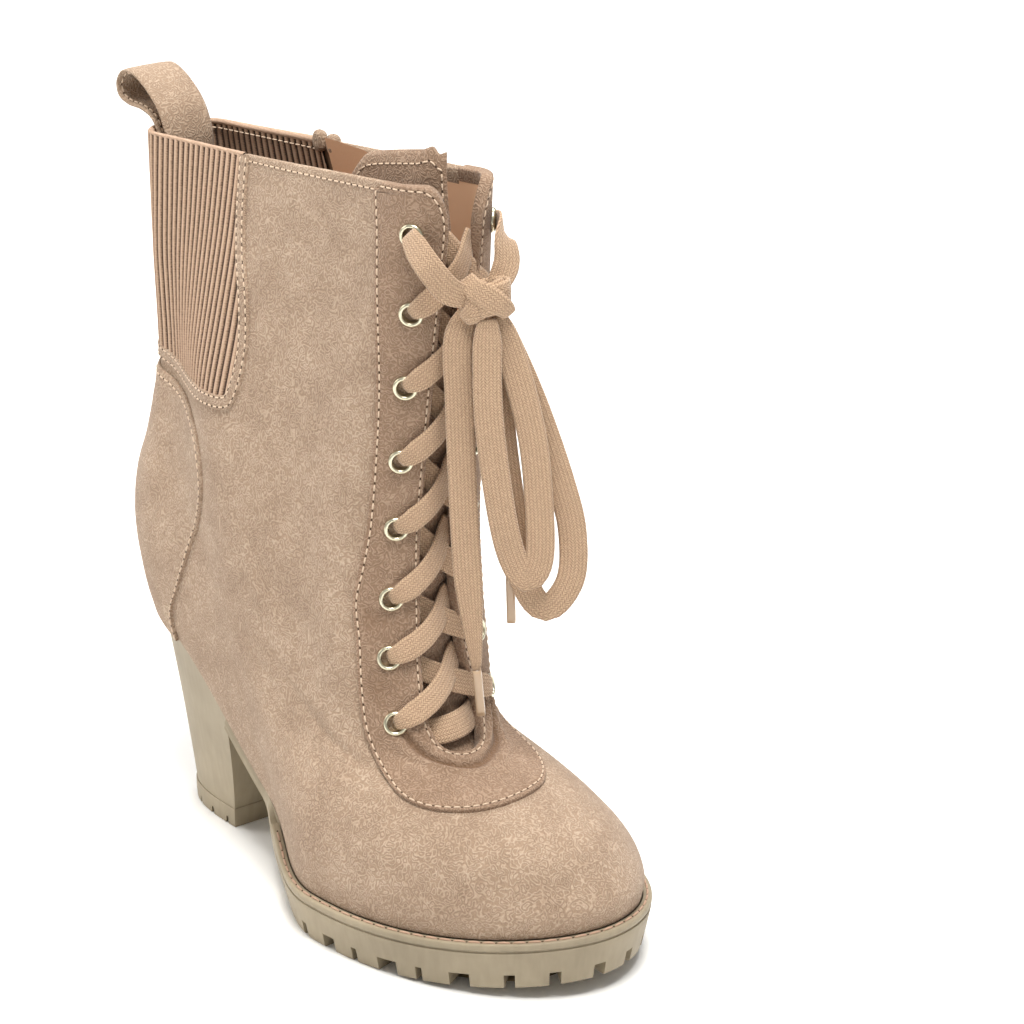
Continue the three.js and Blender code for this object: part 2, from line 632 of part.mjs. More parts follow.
const sliderSeat = onSide(through(zipHeights, zipPlaces, zipTop - 6), zipTop - 6, -1);
const sliderShape = new THREE.Shape();
sliderShape.moveTo(-2.2, -5);
sliderShape.lineTo(2.2, -5);
sliderShape.lineTo(3.1, 2);
sliderShape.lineTo(2.6, 5);
sliderShape.lineTo(-2.6, 5);
sliderShape.lineTo(-3.1, 2);
const slider = new THREE.ExtrudeGeometry(sliderShape, { depth: 1.4, bevelEnabled: true, bevelSize: 0.4,
  bevelThickness: 0.4, bevelSegments: 1 });
const sliderCentre = shell(...sliderSeat, 1.3);
const sliderOut = shell(...sliderSeat, 2.3).sub(sliderCentre).normalize();
const sliderAcross = new THREE.Vector3(0, 0, 1).cross(sliderOut).normalize();
const sliderUp = sliderOut.clone().cross(sliderAcross);
slider.applyMatrix4(new THREE.Matrix4().makeBasis(sliderAcross, sliderUp, sliderOut).setPosition(sliderCentre));
add('zip_slider', toSolid(slider), zipBronze);

// Pull strap: both legs go down inside the back of the collar, and the loop leans back over it
function strip(path, half, thickness) {
  const curve = new THREE.CatmullRomCurve3(path.map(([x, z]) => new THREE.Vector3(x, 0, z)));
  const steps = 22;
  const rings = [];
  for (let i = 0; i <= steps; i += 1) {
    const centre = curve.getPointAt(i / steps);
    const tangent = curve.getTangentAt(i / steps);
    const out = new THREE.Vector3(tangent.z, 0, -tangent.x).multiplyScalar(thickness / 2);
    const side = new THREE.Vector3(0, half, 0);
    rings.push([centre.clone().add(out).add(side), centre.clone().add(out).sub(side),
      centre.clone().sub(out).sub(side), centre.clone().sub(out).add(side)]);
  }
  return toSolid(pile(rings));
}
const pullFoot = collarBack - 8;
const pullPath = [[-25.4, pullFoot], [-26.2, pullFoot + 8], [-30.4, pullFoot + 15.6],
  [-38, pullFoot + 21.4], [-45.5, pullFoot + 24.3], [-51, pullFoot + 23.4], [-53.8, pullFoot + 19.4],
  [-52.4, pullFoot + 15.4], [-47.4, pullFoot + 13.8], [-40, pullFoot + 13.6], [-33.4, pullFoot + 11.4],
  [-30, pullFoot + 6], [-29, pullFoot]];
add('pull_loop', strip(pullPath, pullWidth / 2, pullThickness), suede);

// Tongue: behind the throat, and up past the collar on the outer side
const tongueRows = [6.2, 7, 9, 11, 12.2, 13, 13.6];
const tongueInner = [-16, -19, -17, -11, -3, 6, 10];
const tongueOuter = [14, 18, 24, 34, 42, 50, 54];
const tongueDrop = [1.3, 1.3, 1.4, 2, 3.1, 4.2, 5.2];
const tongueWhere = (a, b) => {
  const top = 13.2 - 0.05 * a;
  const t = THREE.MathUtils.lerp(tongueRows[0], top, b);
  const inner = through(tongueRows, tongueInner, t);
  const outer = through(tongueRows, tongueOuter, t);
  return [around(t, THREE.MathUtils.lerp(inner, outer, a)), t];
};
const tongueFace = (a, b) => -wall - through(tongueRows, tongueDrop, tongueWhere(a, b)[1]);
add('tongue', toSolid(patch(tongueWhere, 9, 13, (a, b) => tongueFace(a, b) - tongueThickness, tongueFace)), suede);

// Eyelets: a flange on the facing and a barrel through facing and upper
for (let k = 0; k < eyeletRows.length; k += 1) {
  for (const side of [1, -1]) {
    const low = facingTop + 2 * gap;
    const profile = [[eyeletHole, -wall], [eyeletHole + 0.35, -wall], [eyeletHole + 0.35, low],
      [eyeletOuter, low], [eyeletHole + 0.3, low + eyeletProud],
      [eyeletHole, -wall]];
    const eyelet = new THREE.LatheGeometry(profile.map(([r, h]) => new THREE.Vector2(r, h)), 8);
    eyelet.applyMatrix4(eyeletFrame(k, side));
    add(`eyelet_${side > 0 ? 'outer' : 'inner'}_${k + 1}`, toSolid(eyelet), eyeletMetal);
  }
}

// Lacing: a flat strap over the surface from one place (row, distance) to another
function strap(from, to, heights, width = laceWidth, steps = 5) {
  const place = (share) => {
    const t = THREE.MathUtils.lerp(from[0], to[0], share);
    const u = around(t, THREE.MathUtils.lerp(from[1], to[1], share));
    return [u, t];
  };
  const rings = [];
  for (let i = 0; i <= steps; i += 1) {
    const share = i / steps;
    const [u, t] = place(share);
    const here = skin(u, t);
    const normal = shell(u, t, 1).sub(here).normalize();
    const along = skin(...place(Math.min(1, share + 0.02))).sub(skin(...place(Math.max(0, share - 0.02))));
    const across = normal.clone().cross(along.normalize()).multiplyScalar(width / 2);
    const low = here.clone().addScaledVector(normal, heights(share));
    const high = here.clone().addScaledVector(normal, heights(share) + laceThickness);
    rings.push([low.clone().add(across), low.clone().sub(across), high.clone().sub(across),
      high.clone().add(across)]);
  }
  return toSolid(pile(rings));
}
const overEyelet = facingTop + 2 * gap + eyeletProud + gap;
const intoThroat = 0.2;
const laceGap = band(-wall - gap, facingTop + gap, 6.3).subtract(throatCutter(-8, 7, -gap));
for (let k = eyeletRows.length - 1; k > 0; k -= 1) {
  const half = (side, lifted) => {
    const start = [eyeletRows[k], eyeletPlace(k, side)];
    const t = eyeletRows[k - 1] - 0.1;
    const end = [t, throatEdge(t, -side, -1.4)];
    const height = (share) => {
      const level = THREE.MathUtils.lerp(overEyelet, intoThroat, ease((share - 0.35) / 0.6));
      return level + (lifted ? 1.35 : 0) * Math.sin(Math.PI * clamp(share, 0, 1)) ** 2;
    };
    return strap(start, end, height);
  };
  add(`lace_crossing_${k}`, half(1, true).add(half(-1, false)).subtract(laceGap), cotton);
}
const barRow = eyeletRows.at(-1) - 0.1;
add('lace_bar', strap([barRow, throatEdge(barRow, 1, -0.8)], [barRow, throatEdge(barRow, -1, -0.8)],
  () => -0.6, laceWidth, 5).subtract(laceGap), cotton);

// Lace above the top crossing: a lead from each top eyelet to the knot, and two loops and two tipped
// ends that hang from it in upright planes. Routes are rows of places x, y, z
const knotPlace = [123.4, 2.8, 203];
const knotAcross = new THREE.Vector3(0.62, 0.784, 0).normalize();
const cordThickness = 2.2;
const agletLength = 15;
const cordRoutes = {
  lace_lead_outer: { steps: 5, route: [[112, -14.8, 222], [117.2, -13.4, 214.6], [120.4, -8, 206.8],
    [121.4, -1, 203.4]] },
  lace_lead_inner: { steps: 5, route: [[115.6, 11.4, 222.6], [118, 13.2, 219.6], [121.4, 12, 212],
    [122.4, 7, 205]] },
  lace_end_1: { steps: 10, route: [[118.8, -0.2, 199], [118.4, -3.6, 190], [117.4, -2.4, 171], [117.4, -1.4, 145.7],
    [117.8, -0.3, 120], [118.4, 1.2, 100.7], [119, 2.4, 85]] },
  lace_end_2: { steps: 8, route: [[118.3, 9.3, 197], [118.7, 9.8, 189], [119.8, 10.9, 163], [121.3, 12.7, 137.8],
    [121.7, 13.2, 113.7]] },
  lace_loop_1: { steps: 10, route: [[122.5, 5.5, 199], [127.4, 12.3, 180.1], [130.8, 17.2, 164.5],
    [134.3, 22.1, 145.7], [136.3, 25.2, 129.8], [136, 24.8, 113.7], [131.3, 18.9, 104.6], [126.7, 13.7, 115.3],
    [124.2, 11.2, 139.3], [122.1, 9.1, 164.5], [120.4, 7.5, 197]] },
  lace_loop_2: { steps: 10, route: [[126.2, 1.3, 198], [126.1, 1.4, 172.2], [126.8, 3.5, 150.3],
    [127.8, 6.4, 131.3], [128.9, 9.4, 120.5], [131.3, 12.4, 115.6], [133.4, 15.1, 122.5], [133.2, 14.9, 140.8],
    [131.8, 13, 162.8], [127.9, 8, 187.6], [124.7, 3.8, 198]] },
};
function knotSolid(grow) {
  const ball = new THREE.SphereGeometry(1, 10, 6);
  ball.scale(8 + grow, 5 + grow, 6.5 + grow);
  ball.rotateZ(Math.atan2(knotAcross.y, knotAcross.x));
  ball.translate(...knotPlace);
  return toSolid(ball);
}
function cord(route, steps) {
  const path = new THREE.CatmullRomCurve3(route.map((p) => new THREE.Vector3(...p)));
  const { normals, binormals } = path.computeFrenetFrames(steps, false);
  const turn = Math.atan2(knotAcross.dot(binormals[0]), knotAcross.dot(normals[0]));
  const corners = Array.from({ length: 8 }, (_, i) => {
    const angle = (i + 0.5) * Math.PI / 4;
    const corner = new THREE.Vector2(laceWidth / 2 * Math.cos(angle), cordThickness / 2 * Math.sin(angle));
    return corner.rotateAround(new THREE.Vector2(0, 0), turn);
  });
  return toSolid(new THREE.ExtrudeGeometry(new THREE.Shape(corners), { steps, extrudePath: path }));
}
const knotRoom = knotSolid(gap);
add('lace_knot', knotSolid(0), cotton);
for (const [name, { route, steps }] of Object.entries(cordRoutes)) {
  const folded = name.startsWith('lace_loop');
  const solid = folded ? cord(route.slice(0, 7), steps).add(cord(route.slice(4), steps)) : cord(route, steps);
  add(name, solid.subtract(knotRoom), cotton);
}
['lace_end_1', 'lace_end_2'].forEach((name, i) => {
  const [before, last] = cordRoutes[name].route.slice(-2).map((p) => new THREE.Vector3(...p));
  const down = last.clone().sub(before).normalize();
  const tip = new THREE.CylinderGeometry(agletRadius, agletRadius, agletLength, 8);
  const turn = new THREE.Quaternion().setFromUnitVectors(new THREE.Vector3(0, 1, 0), down);
  const centre = last.clone().addScaledVector(down, gap + agletLength / 2);
  tip.applyMatrix4(new THREE.Matrix4().compose(centre, turn, new THREE.Vector3(1, 1, 1)));
  add(`aglet_${i + 1}`, toSolid(tip), { color: 0xb9a284, roughness: 0.3, metalness: 0 });
});

export default boot;
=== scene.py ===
# Right ankle boot in faux suede: a tall block heel, a lugged platform sole, front lacing through
# sixteen eyelets, a ribbed elastic gore behind and a zip on the inner side. Sizes are in
# millimetres unless a name says otherwise, and become metres where a mesh is made.
import math

import bpy
import numpy as np
from mathutils import Matrix, Vector


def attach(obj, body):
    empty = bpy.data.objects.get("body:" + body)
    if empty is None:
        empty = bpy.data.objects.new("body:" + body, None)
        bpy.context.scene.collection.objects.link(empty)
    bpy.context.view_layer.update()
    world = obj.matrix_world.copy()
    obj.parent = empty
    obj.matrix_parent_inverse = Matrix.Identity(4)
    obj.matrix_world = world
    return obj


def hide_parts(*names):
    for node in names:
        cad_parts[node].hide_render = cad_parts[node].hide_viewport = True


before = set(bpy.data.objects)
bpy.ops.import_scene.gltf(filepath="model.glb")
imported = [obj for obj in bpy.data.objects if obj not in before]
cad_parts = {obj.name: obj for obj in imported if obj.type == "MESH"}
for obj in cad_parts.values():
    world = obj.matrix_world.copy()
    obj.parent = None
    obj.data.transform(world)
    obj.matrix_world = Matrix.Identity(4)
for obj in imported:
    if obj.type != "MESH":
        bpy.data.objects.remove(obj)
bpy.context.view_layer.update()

# View and light. The camera stands where the photographer stood, in front of the outer side and
# a little above, with a long lens. A large soft window lights the boot from above, on white paper.

lens_data = bpy.data.cameras.new("long_lens")
lens_data.sensor_width = 36
lens_data.lens = 128.46
camera = bpy.data.objects.new("camera", lens_data)
camera.matrix_world = Matrix((
    (0.6207, -0.2807, 0.7320, 0.9207),
    (0.7840, 0.2222, -0.5796, -0.6187),
    (0.0, 0.9336, 0.3580, 0.5246),
    (0, 0, 0, 1),
))
bpy.context.scene.collection.objects.link(camera)
bpy.context.scene.camera = camera


def linear(colour):
    """An sRGB hex colour as linear RGBA."""
    parts = [int(colour[i:i + 2], 16) / 255 for i in (1, 3, 5)]
    return [p / 12.92 if p <= 0.04045 else ((p + 0.055) / 1.055) ** 2.4 for p in parts] + [1.0]


def add_light(name, place, aim, width, power, colour):
    lamp = bpy.data.lights.new(name, "AREA")
    lamp.shape = "DISK"
    lamp.size = width
    lamp.energy = power
    lamp.color = linear(colour)[:3]
    holder = bpy.data.objects.new(name, lamp)
    holder.location = place
    holder.rotation_euler = (Vector(aim) - Vector(place)).to_track_quat("-Z", "Y").to_euler()
    bpy.context.scene.collection.objects.link(holder)


add_light("window", (-1.45, -0.95, 1.1), (0.05, 0, 0.12), 0.9, 15.5, "#fffaf3")
add_light("ceiling", (0.5, -0.2, 1.8), (0.08, 0, 0.08), 0.8, 42, "#fffdf9")
add_light("floor_card", (-0.7, 0.9, 1.6), (-0.5, 0.8, 0), 1.4, 22, "#ffffff")
room = bpy.data.worlds.new("paper_white_room")
room.use_nodes = True
room.node_tree.nodes["Background"].inputs["Color"].default_value = linear("#fbfaf8")
room.node_tree.nodes["Background"].inputs["Strength"].default_value = 0.46
bpy.context.scene.view_settings.view_transform = "Standard"
bpy.context.scene.world = room


def add_node(tree, kind, links=None, **settings):
    """Adds a shader node, with its settings, its socket values and its links."""
    made = tree.nodes.new("ShaderNode" + kind)
    for name, value in settings.items():
        setattr(made, name, value)
    for socket, value in (links or {}).items():
        if isinstance(value, bpy.types.NodeSocket):
            tree.links.new(value, made.inputs[socket])
        else:
            made.inputs[socket].default_value = value
    return made


def new_material(name):
    """An empty material, its node tree and its surface shader."""
    material = bpy.data.materials.new(name)
    material.use_nodes = True
    tree = material.node_tree
    return material, tree, tree.nodes["Principled BSDF"]


paper, tree, shader = new_material("matt_white_paper")
shader.inputs["Base Color"].default_value = linear("#fafaf9")
shader.inputs["Roughness"].default_value = 0.9


def add_mesh(name, points_mm, faces, materials, face_material=None, smooth=True):
    """A mesh object from points in millimetres."""
    mesh = bpy.data.meshes.new(name)
    points = np.asarray(points_mm, float).reshape(-1, 3) * 0.001
    mesh.from_pydata(points.tolist(), [], [list(map(int, f)) for f in faces])
    for material in materials:
        mesh.materials.append(material)
    if face_material is not None:
        mesh.polygons.foreach_set("material_index", np.asarray(face_material, dtype=np.int32))
    mesh.polygons.foreach_set("use_smooth", np.full(len(mesh.polygons), smooth))
    mesh.update()
    made = bpy.data.objects.new(name, mesh)
    bpy.context.scene.collection.objects.link(made)
    return made


floor = add_mesh("floor", [(-3000, -3000, 0), (3000, -3000, 0), (3000, 3000, 0), (-3000, 3000, 0)],
                 [(0, 1, 2, 3)], [paper], smooth=False)

# Hanging lace: a flat woven cotton tape. From the two top eyelets it runs into a bow, which hangs
# in front of the tongue with two loops and two ends, each end rolled into a clear film tip.

lace_width = 8.6
lace_thickness = 1.5
knot_place = np.array([123.4, 2.8, 203.0])
across = np.array([0.62, 0.784, 0.0])
away = np.array([0.784, -0.62, 0.0])


def smooth_path(route, step=2.0):
    """Points at equal steps along a smooth curve through a route."""
    route = np.asarray(route, float)
    padded = np.vstack([2 * route[0] - route[1], route, 2 * route[-1] - route[-2]])
    fine = []
    for a, b, c, d in zip(padded[:-3], padded[1:-2], padded[2:-1], padded[3:]):
        for s in np.linspace(0, 1, 24, endpoint=False):
            fine.append(0.5 * (2 * b + (c - a) * s + (2 * a - 5 * b + 4 * c - d) * s ** 2
                               + (3 * b - a - 3 * c + d) * s ** 3))
    fine = np.array(fine + [route[-1]])
    run = np.r_[0, np.cumsum(np.linalg.norm(np.diff(fine, axis=0), axis=1))]
    at = np.linspace(0, run[-1], max(2, int(round(run[-1] / step))) + 1)
    return np.stack([np.interp(at, run, fine[:, k]) for k in range(3)], axis=1)


def unit(vectors):
    return vectors / np.maximum(np.linalg.norm(vectors, axis=-1, keepdims=True), 1e-9)


def add_tape(name, path, facing, width, thickness, material, ends=(1.0, 1.0)):
    """A flat tape along a path. facing is the direction its face looks, one for each point."""
    path = np.asarray(path, float)
    along = unit(np.gradient(path, axis=0))
    face = np.broadcast_to(np.asarray(facing, float), path.shape)
    side = unit(np.cross(along, face))
    face = unit(np.cross(side, along))
    run = np.r_[0, np.cumsum(np.linalg.norm(np.diff(path, axis=0), axis=1))]
    taper = np.ones(len(path))
    for end, distance in zip(ends, (run, run[-1] - run)):
        taper *= end + (1 - end) * np.clip(distance / (7 if end > 0.4 else 30), 0, 1) ** 0.7
    around = np.linspace(0, 2 * math.pi, 16, endpoint=False)
    wide = np.sign(np.cos(around)) * np.abs(np.cos(around)) ** 0.7
    high = np.sign(np.sin(around)) * np.abs(np.sin(around)) ** 0.6
    points = (path[:, None] + side[:, None] * (wide * width / 2)[None, :, None] * taper[:, None, None]
              + face[:, None] * (high * thickness / 2)[None, :, None]
              * (1 + 0.8 * (1 - taper))[:, None, None])
    count = len(around)
    faces = []
    uv = []
    for i in range(len(path) - 1):
        for j in range(count):
            k = (j + 1) % count
            faces.append((i * count + j, i * count + k, (i + 1) * count + k, (i + 1) * count + j))
            left, right = wide[j] * width / 2, wide[k] * width / 2
            uv += [(left, run[i]), (right, run[i]), (right, run[i + 1]), (left, run[i + 1])]
    last = (len(path) - 1) * count
    faces.append(tuple(range(count))[::-1])
    faces.append(tuple(last + j for j in range(count)))
    uv += [(0, 0)] * (2 * count)
    made = add_mesh(name, points, faces, [material])
    layer = made.data.uv_layers.new(name="weave_mm")
    layer.data.foreach_set("uv", np.array(uv, dtype=np.float32).ravel())
    return made


# Braided cotton tape: matt, its yarns in narrow columns of chevrons about a millimetre apart
cotton, tree, shader = new_material("woven_cotton_tape")
weave = add_node(tree, "UVMap", uv_map="weave_mm")
parts = add_node(tree, "SeparateXYZ", {"Vector": weave.outputs["UV"]})
columns = add_node(tree, "Math", {0: parts.outputs["X"], 1: 1.1}, operation="PINGPONG")
slant = add_node(tree, "Math", {0: columns.outputs[0], 1: 1.2, 2: parts.outputs["Y"]},
                 operation="MULTIPLY_ADD")
ribs = add_node(tree, "Math", {0: slant.outputs[0], 1: 2 * math.pi / 0.95}, operation="MULTIPLY")
ribs = add_node(tree, "Math", {0: ribs.outputs[0]}, operation="SINE")
yarn = add_node(tree, "Math", {0: parts.outputs["X"], 1: 2 * math.pi / 1.1}, operation="MULTIPLY")
yarn = add_node(tree, "Math", {0: yarn.outputs[0]}, operation="COSINE")
place = add_node(tree, "TexCoord").outputs["Object"]
lint = add_node(tree, "TexNoise", {"Vector": place, "Scale": 1900, "Detail": 2})
thread = add_node(tree, "Math", {0: ribs.outputs[0], 1: 0.3, 2: lint.outputs["Fac"]},
                  operation="MULTIPLY_ADD")
thread = add_node(tree, "Math", {0: yarn.outputs[0], 1: 0.16, 2: thread.outputs[0]},
                  operation="MULTIPLY_ADD")
shade = add_node(tree, "ValToRGB", {"Fac": thread.outputs[0]})
shade.color_ramp.elements[0].color = linear("#8f735b")
shade.color_ramp.elements[1].color = linear("#c9ab8d")
relief = add_node(tree, "Bump", {"Height": thread.outputs[0], "Strength": 0.5, "Distance": 0.0004})
tree.links.new(shade.outputs["Color"], shader.inputs["Base Color"])
tree.links.new(relief.outputs["Normal"], shader.inputs["Normal"])
shader.inputs["Roughness"].default_value = 0.9
shader.inputs["Sheen Weight"].default_value = 0.2

# Clear film tip: the tape's end rolled tight under a shiny shrunk film
film, tree, shader = new_material("shrunk_clear_film")
shader.inputs["Base Color"].default_value = linear("#b59a7e")
shader.inputs["Roughness"].default_value = 0.28
shader.inputs["Coat Weight"].default_value = 0.6

hanging = {
    "lace_end_1": [(118.8, -0.2, 199), (118.4, -3.6, 190), (117.4, -2.4, 171), (117.4, -1.4, 145.7),
                   (117.8, -0.3, 120), (118.4, 1.2, 100.7), (119, 2.4, 85)],
    "lace_end_2": [(118.3, 9.3, 197), (118.7, 9.8, 189), (119.8, 10.9, 163), (121.3, 12.7, 137.8),
                   (121.7, 13.2, 113.7)],
    "lace_loop_1": [(122.5, 5.5, 199), (127.4, 12.3, 180.1), (130.8, 17.2, 164.5), (134.3, 22.1, 145.7),
                    (136.3, 25.2, 129.8), (136, 24.8, 113.7), (131.3, 18.9, 104.6), (126.7, 13.7, 115.3),
                    (124.2, 11.2, 139.3), (122.1, 9.1, 164.5), (120.4, 7.5, 197)],
    "lace_loop_2": [(126.2, 1.3, 198), (126.1, 1.4, 172.2), (126.8, 3.5, 150.3), (127.8, 6.4, 131.3),
                    (128.9, 9.4, 120.5), (131.3, 12.4, 115.6), (133.4, 15.1, 122.5), (133.2, 14.9, 140.8),
                    (131.8, 13, 162.8), (127.9, 8, 187.6), (124.7, 3.8, 198)],
}
for name, route in hanging.items():
    path = smooth_path(route)
    is_end = name.startswith("lace_end")
    tape = add_tape(name + "_tape", path, away, lace_width, lace_thickness, cotton,
                    ends=(0.6, 0.3 if is_end else 0.6))
    length = float(np.linalg.norm(np.diff(path, axis=0), axis=1).sum()) * 0.001
    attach(tape, "root")
    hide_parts(name)
    if is_end:
        down = unit(path[-1] - path[-2])
        tip_path = np.array([path[-1] + down * d for d in (0.2, 1.2, 7, 14, 15.2)])
        tip = add_tape(name + "_tip", smooth_path(tip_path, 1.5), away, 2.8, 2.6, film, ends=(1, 1))
        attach(tip, "root")
        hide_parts("aglet_" + name[-1])

# Upper: vamp and shaft in microfibre suede over a smooth lining, sewn edge to edge and pulled over
# a last. It is open at the throat, for the gore and for the zip. Rings of the section table run
# from the sole (row 0) to the collar (row 13); u runs around from the toe over the outer side.

toe_reach = 181.8
welt_lip = 3.0
upper_reach = toe_reach - welt_lip
heel_bulge = 41.0
ball_half = 46.2
vamp_height = 42.0
instep_bend = 0.045
platform_top = 15.9
seat_height = 69.0
arch_front = 76.0
arch_back = -22.0
spring_rise = 6.3
spring_length = 70.0
collar_front = 236.5
collar_back = 222.5
wall = 2.0
gap = 0.3
top_row = 13
columns = ("front", "back", "ball_at", "lead", "heel_at", "ball_out", "ball_in", "waist_out",
           "waist_in", "heel_half", "at_front", "at_ball", "at_waist", "at_heel", "sway", "round")
sections = np.array([
    [0.999, 0.78, 0.550, 0.083, 0.10, 1.000, 0.972, 0.60, 0.500, 0.585, 0.00, 0.00, 0.00, 0.00, 0.10, 1.92],
    [1.006, 0.86, 0.550, 0.080, 0.10, 1.020, 0.955, 0.635, 0.55, 0.62, 0.16, 0.19, 0.17, 0.17, 0.10, 1.95],
    [0.983, 0.93, 0.545, 0.075, 0.12, 1.010, 0.915, 0.66, 0.595, 0.635, 0.34, 0.38, 0.36, 0.36, 0.09, 2],
    [0.942, 0.985, 0.53, 0.060, 0.15, 0.970, 0.835, 0.68, 0.630, 0.64, 0.55, 0.56, 0.57, 0.57, 0.05, 2.05],
    [0.865, 1.000, 0.52, 0.045, 0.18, 0.895, 0.730, 0.69, 0.645, 0.63, 0.74, 0.73, 0.77, 0.78, 0.02, 2.1],
    [0.780, 0.975, 0.51, 0.030, 0.22, 0.790, 0.650, 0.69, 0.650, 0.59, 0.86, 0.87, 0.96, 1.00, -0.03, 2.1],
    [0.722, 0.880, 0.50, 0.015, 0.28, 0.685, 0.600, 0.68, 0.655, 0.50, 0.92, 0.98, 1.07, 1.12, -0.07, 2.05],
    [0.665, 0.790, 0.485, 0.01, 0.34, 0.600, 0.600, 0.67, 0.660, 0.43, 0.99, 1.05, 1.16, 1.23, -0.12, 2],
    [0.617, 0.750, 0.46, 0.020, 0.38, 0.555, 0.640, 0.66, 0.660, 0.37, 1.11, 1.17, 1.27, 1.34, -0.12, 2],
    [0.587, 0.760, 0.435, 0.03, 0.41, 0.535, 0.645, 0.645, 0.645, 0.36, 1.24, 1.29, 1.375, 1.43, -0.09, 2],
    [0.580, 0.785, 0.425, 0.03, 0.43, 0.510, 0.630, 0.605, 0.605, 0.36, 1.40, 1.435, 1.50, 1.54, -0.05, 2],
    [0.597, 0.830, 0.45, 0.030, 0.46, 0.450, 0.550, 0.52, 0.530, 0.355, 1.60, 1.62, 1.66, 1.68, 0.00, 2],
    [0.624, 0.880, 0.51, 0.020, 0.52, 0.365, 0.425, 0.415, 0.425, 0.325, 1.80, 1.81, 1.835, 1.845, 0.03, 2],
    [0.652, 0.930, 0.56, 0.010, 0.60, 0.295, 0.325, 0.315, 0.325, 0.290, 2.00, 2.00, 2.00, 2.00, 0.045, 2],
])


def ease(share):
    s = np.clip(share, 0, 1)
    return s * s * (3 - 2 * s)


def cubic(share, a, b, slope_a, slope_b, length):
    s2 = share * share
    s3 = s2 * share
    return (a * (2 * s3 - 3 * s2 + 1) + b * (3 * s2 - 2 * s3)
            + length * (slope_a * (s3 - 2 * s2 + share) + slope_b * (s3 - s2)))


def slope_between(step_a, step_b):
    total = step_a + step_b
    safe = np.where(np.abs(total) < 1e-9, 1, total)
    return np.where(step_a * step_b > 0, 2 * step_a * step_b / safe, 0)


def through(at, values, x):
    """Smooth curve through a few stations, without overshoot; at and values may be arrays."""
    steps = [(values[i + 1] - values[i]) / (at[i + 1] - at[i]) for i in range(len(at) - 1)]
    slopes = [steps[0]] + [slope_between(a, b) for a, b in zip(steps, steps[1:])] + [steps[-1]]
    result = 0
    for i in range(len(at) - 1):
        length = at[i + 1] - at[i]
        piece = cubic((x - at[i]) / length, values[i], values[i + 1], slopes[i], slopes[i + 1], length)
        result = piece if i == 0 else np.where(x >= at[i], piece, result)
    return result


def spring(x):
    return spring_rise * np.clip((x - toe_reach + spring_length) / spring_length, 0, None) ** 2


def seat(x):
    climb = ease((arch_front - x) / (arch_front - arch_back))
    return platform_top + (seat_height - platform_top) * climb + spring(x)


def collar_line(x):
    return collar_back + (collar_front - collar_back) * (x + heel_bulge) / (0.65 * upper_reach + heel_bulge)


def skin(u, t):
    """Point of the upper's outer face, in millimetres."""
    u, t = np.broadcast_arrays(np.asarray(u, float), np.asarray(t, float))
    i = np.clip(np.floor(t).astype(int), 0, top_row - 1)
    share = (t - i)[..., None]
    before, here, after, beyond = (sections[np.clip(i + k, 0, top_row)] for k in (-1, 0, 1, 2))
    step = after - here
    slope_a = np.where((i == 0)[..., None], step, (after - before) / 2)
    slope_b = np.where((i == top_row - 1)[..., None], step, (beyond - here) / 2)
    row = cubic(share, here, after, slope_a, slope_b, 1)
    row = np.where(share > 1, after + step * (share - 1), row)
    s = {name: row[..., k] for k, name in enumerate(columns)}
    front = s["front"] * upper_reach
    back = -s["back"] * heel_bulge
    x = back + (front - back) * (1 + np.cos(u)) / 2
    outer = np.sin(u) >= 0
    ball = (s["ball_at"] + np.where(outer, 0, s["lead"])) * upper_reach
    heel = -s["heel_at"] * heel_bulge
    waist = (ball + heel) / 2
    ball_width = np.where(outer, s["ball_out"], s["ball_in"]) * ball_half
    waist_width = np.where(outer, s["waist_out"], s["waist_in"]) * ball_half
    heel_width = s["heel_half"] * ball_half
    slope = slope_between((waist_width - heel_width) / (waist - heel),
                          (ball_width - waist_width) / (ball - waist))
    to_front = np.clip((front - x) / (front - ball), 0, 1)
    to_back = np.clip((x - back) / (heel - back), 0, 1)
    half = np.where(x < waist,
                    cubic((x - heel) / (waist - heel), heel_width, waist_width, 0, slope, waist - heel),
                    cubic((x - waist) / (ball - waist), waist_width, ball_width, slope, 0, ball - waist))
    half = np.where(x >= ball, ball_width * (1 - (1 - to_front) ** s["round"]) ** (1 / s["round"]), half)
    half = np.where(x <= heel, heel_width * np.sqrt(1 - (1 - to_back) ** 2), half)
    y = np.where(outer, -half, half) + s["sway"] * ball_half * np.exp((x - front) / 60)
    middle = s["ball_at"] * upper_reach
    level = through([back, heel, (middle + heel) / 2, middle, front],
                    [s["at_heel"], s["at_heel"], s["at_waist"], s["at_ball"], s["at_front"]], x)
    rise = level - 1
    rise = (rise + np.sqrt(rise * rise + instep_bend ** 2)) / 2
    z = seat(x) + level * vamp_height + (collar_line(x) - seat(x) - 2 * vamp_height) * rise
    return np.stack([x, y, z], axis=-1)


def outward(u, t):
    step = 0.002
    along = skin(u + step, t) - skin(u - step, t)
    up = skin(u, t + 0.01) - skin(u, np.maximum(np.asarray(t, float) - 0.01, 0))
    return unit(np.cross(up, along))


def shell(u, t, out):
    return skin(u, t) + outward(u, t) * np.asarray(out, float)[..., None]


# Distance along each ring from its front, positive on the outer side
ring_cols, ring_rows = 720, 140
ring_u = np.linspace(-math.pi, math.pi, ring_cols + 1)
ring_t = np.linspace(0, top_row + 1, ring_rows + 1)
ring_points = skin(ring_u[None, :], ring_t[:, None])
ring_run = np.cumsum(np.linalg.norm(np.diff(ring_points, axis=1), axis=2), axis=1)
ring_run = np.concatenate([np.zeros((len(ring_t), 1)), ring_run], axis=1)
ring_run -= ring_run[:, ring_cols // 2:ring_cols // 2 + 1]


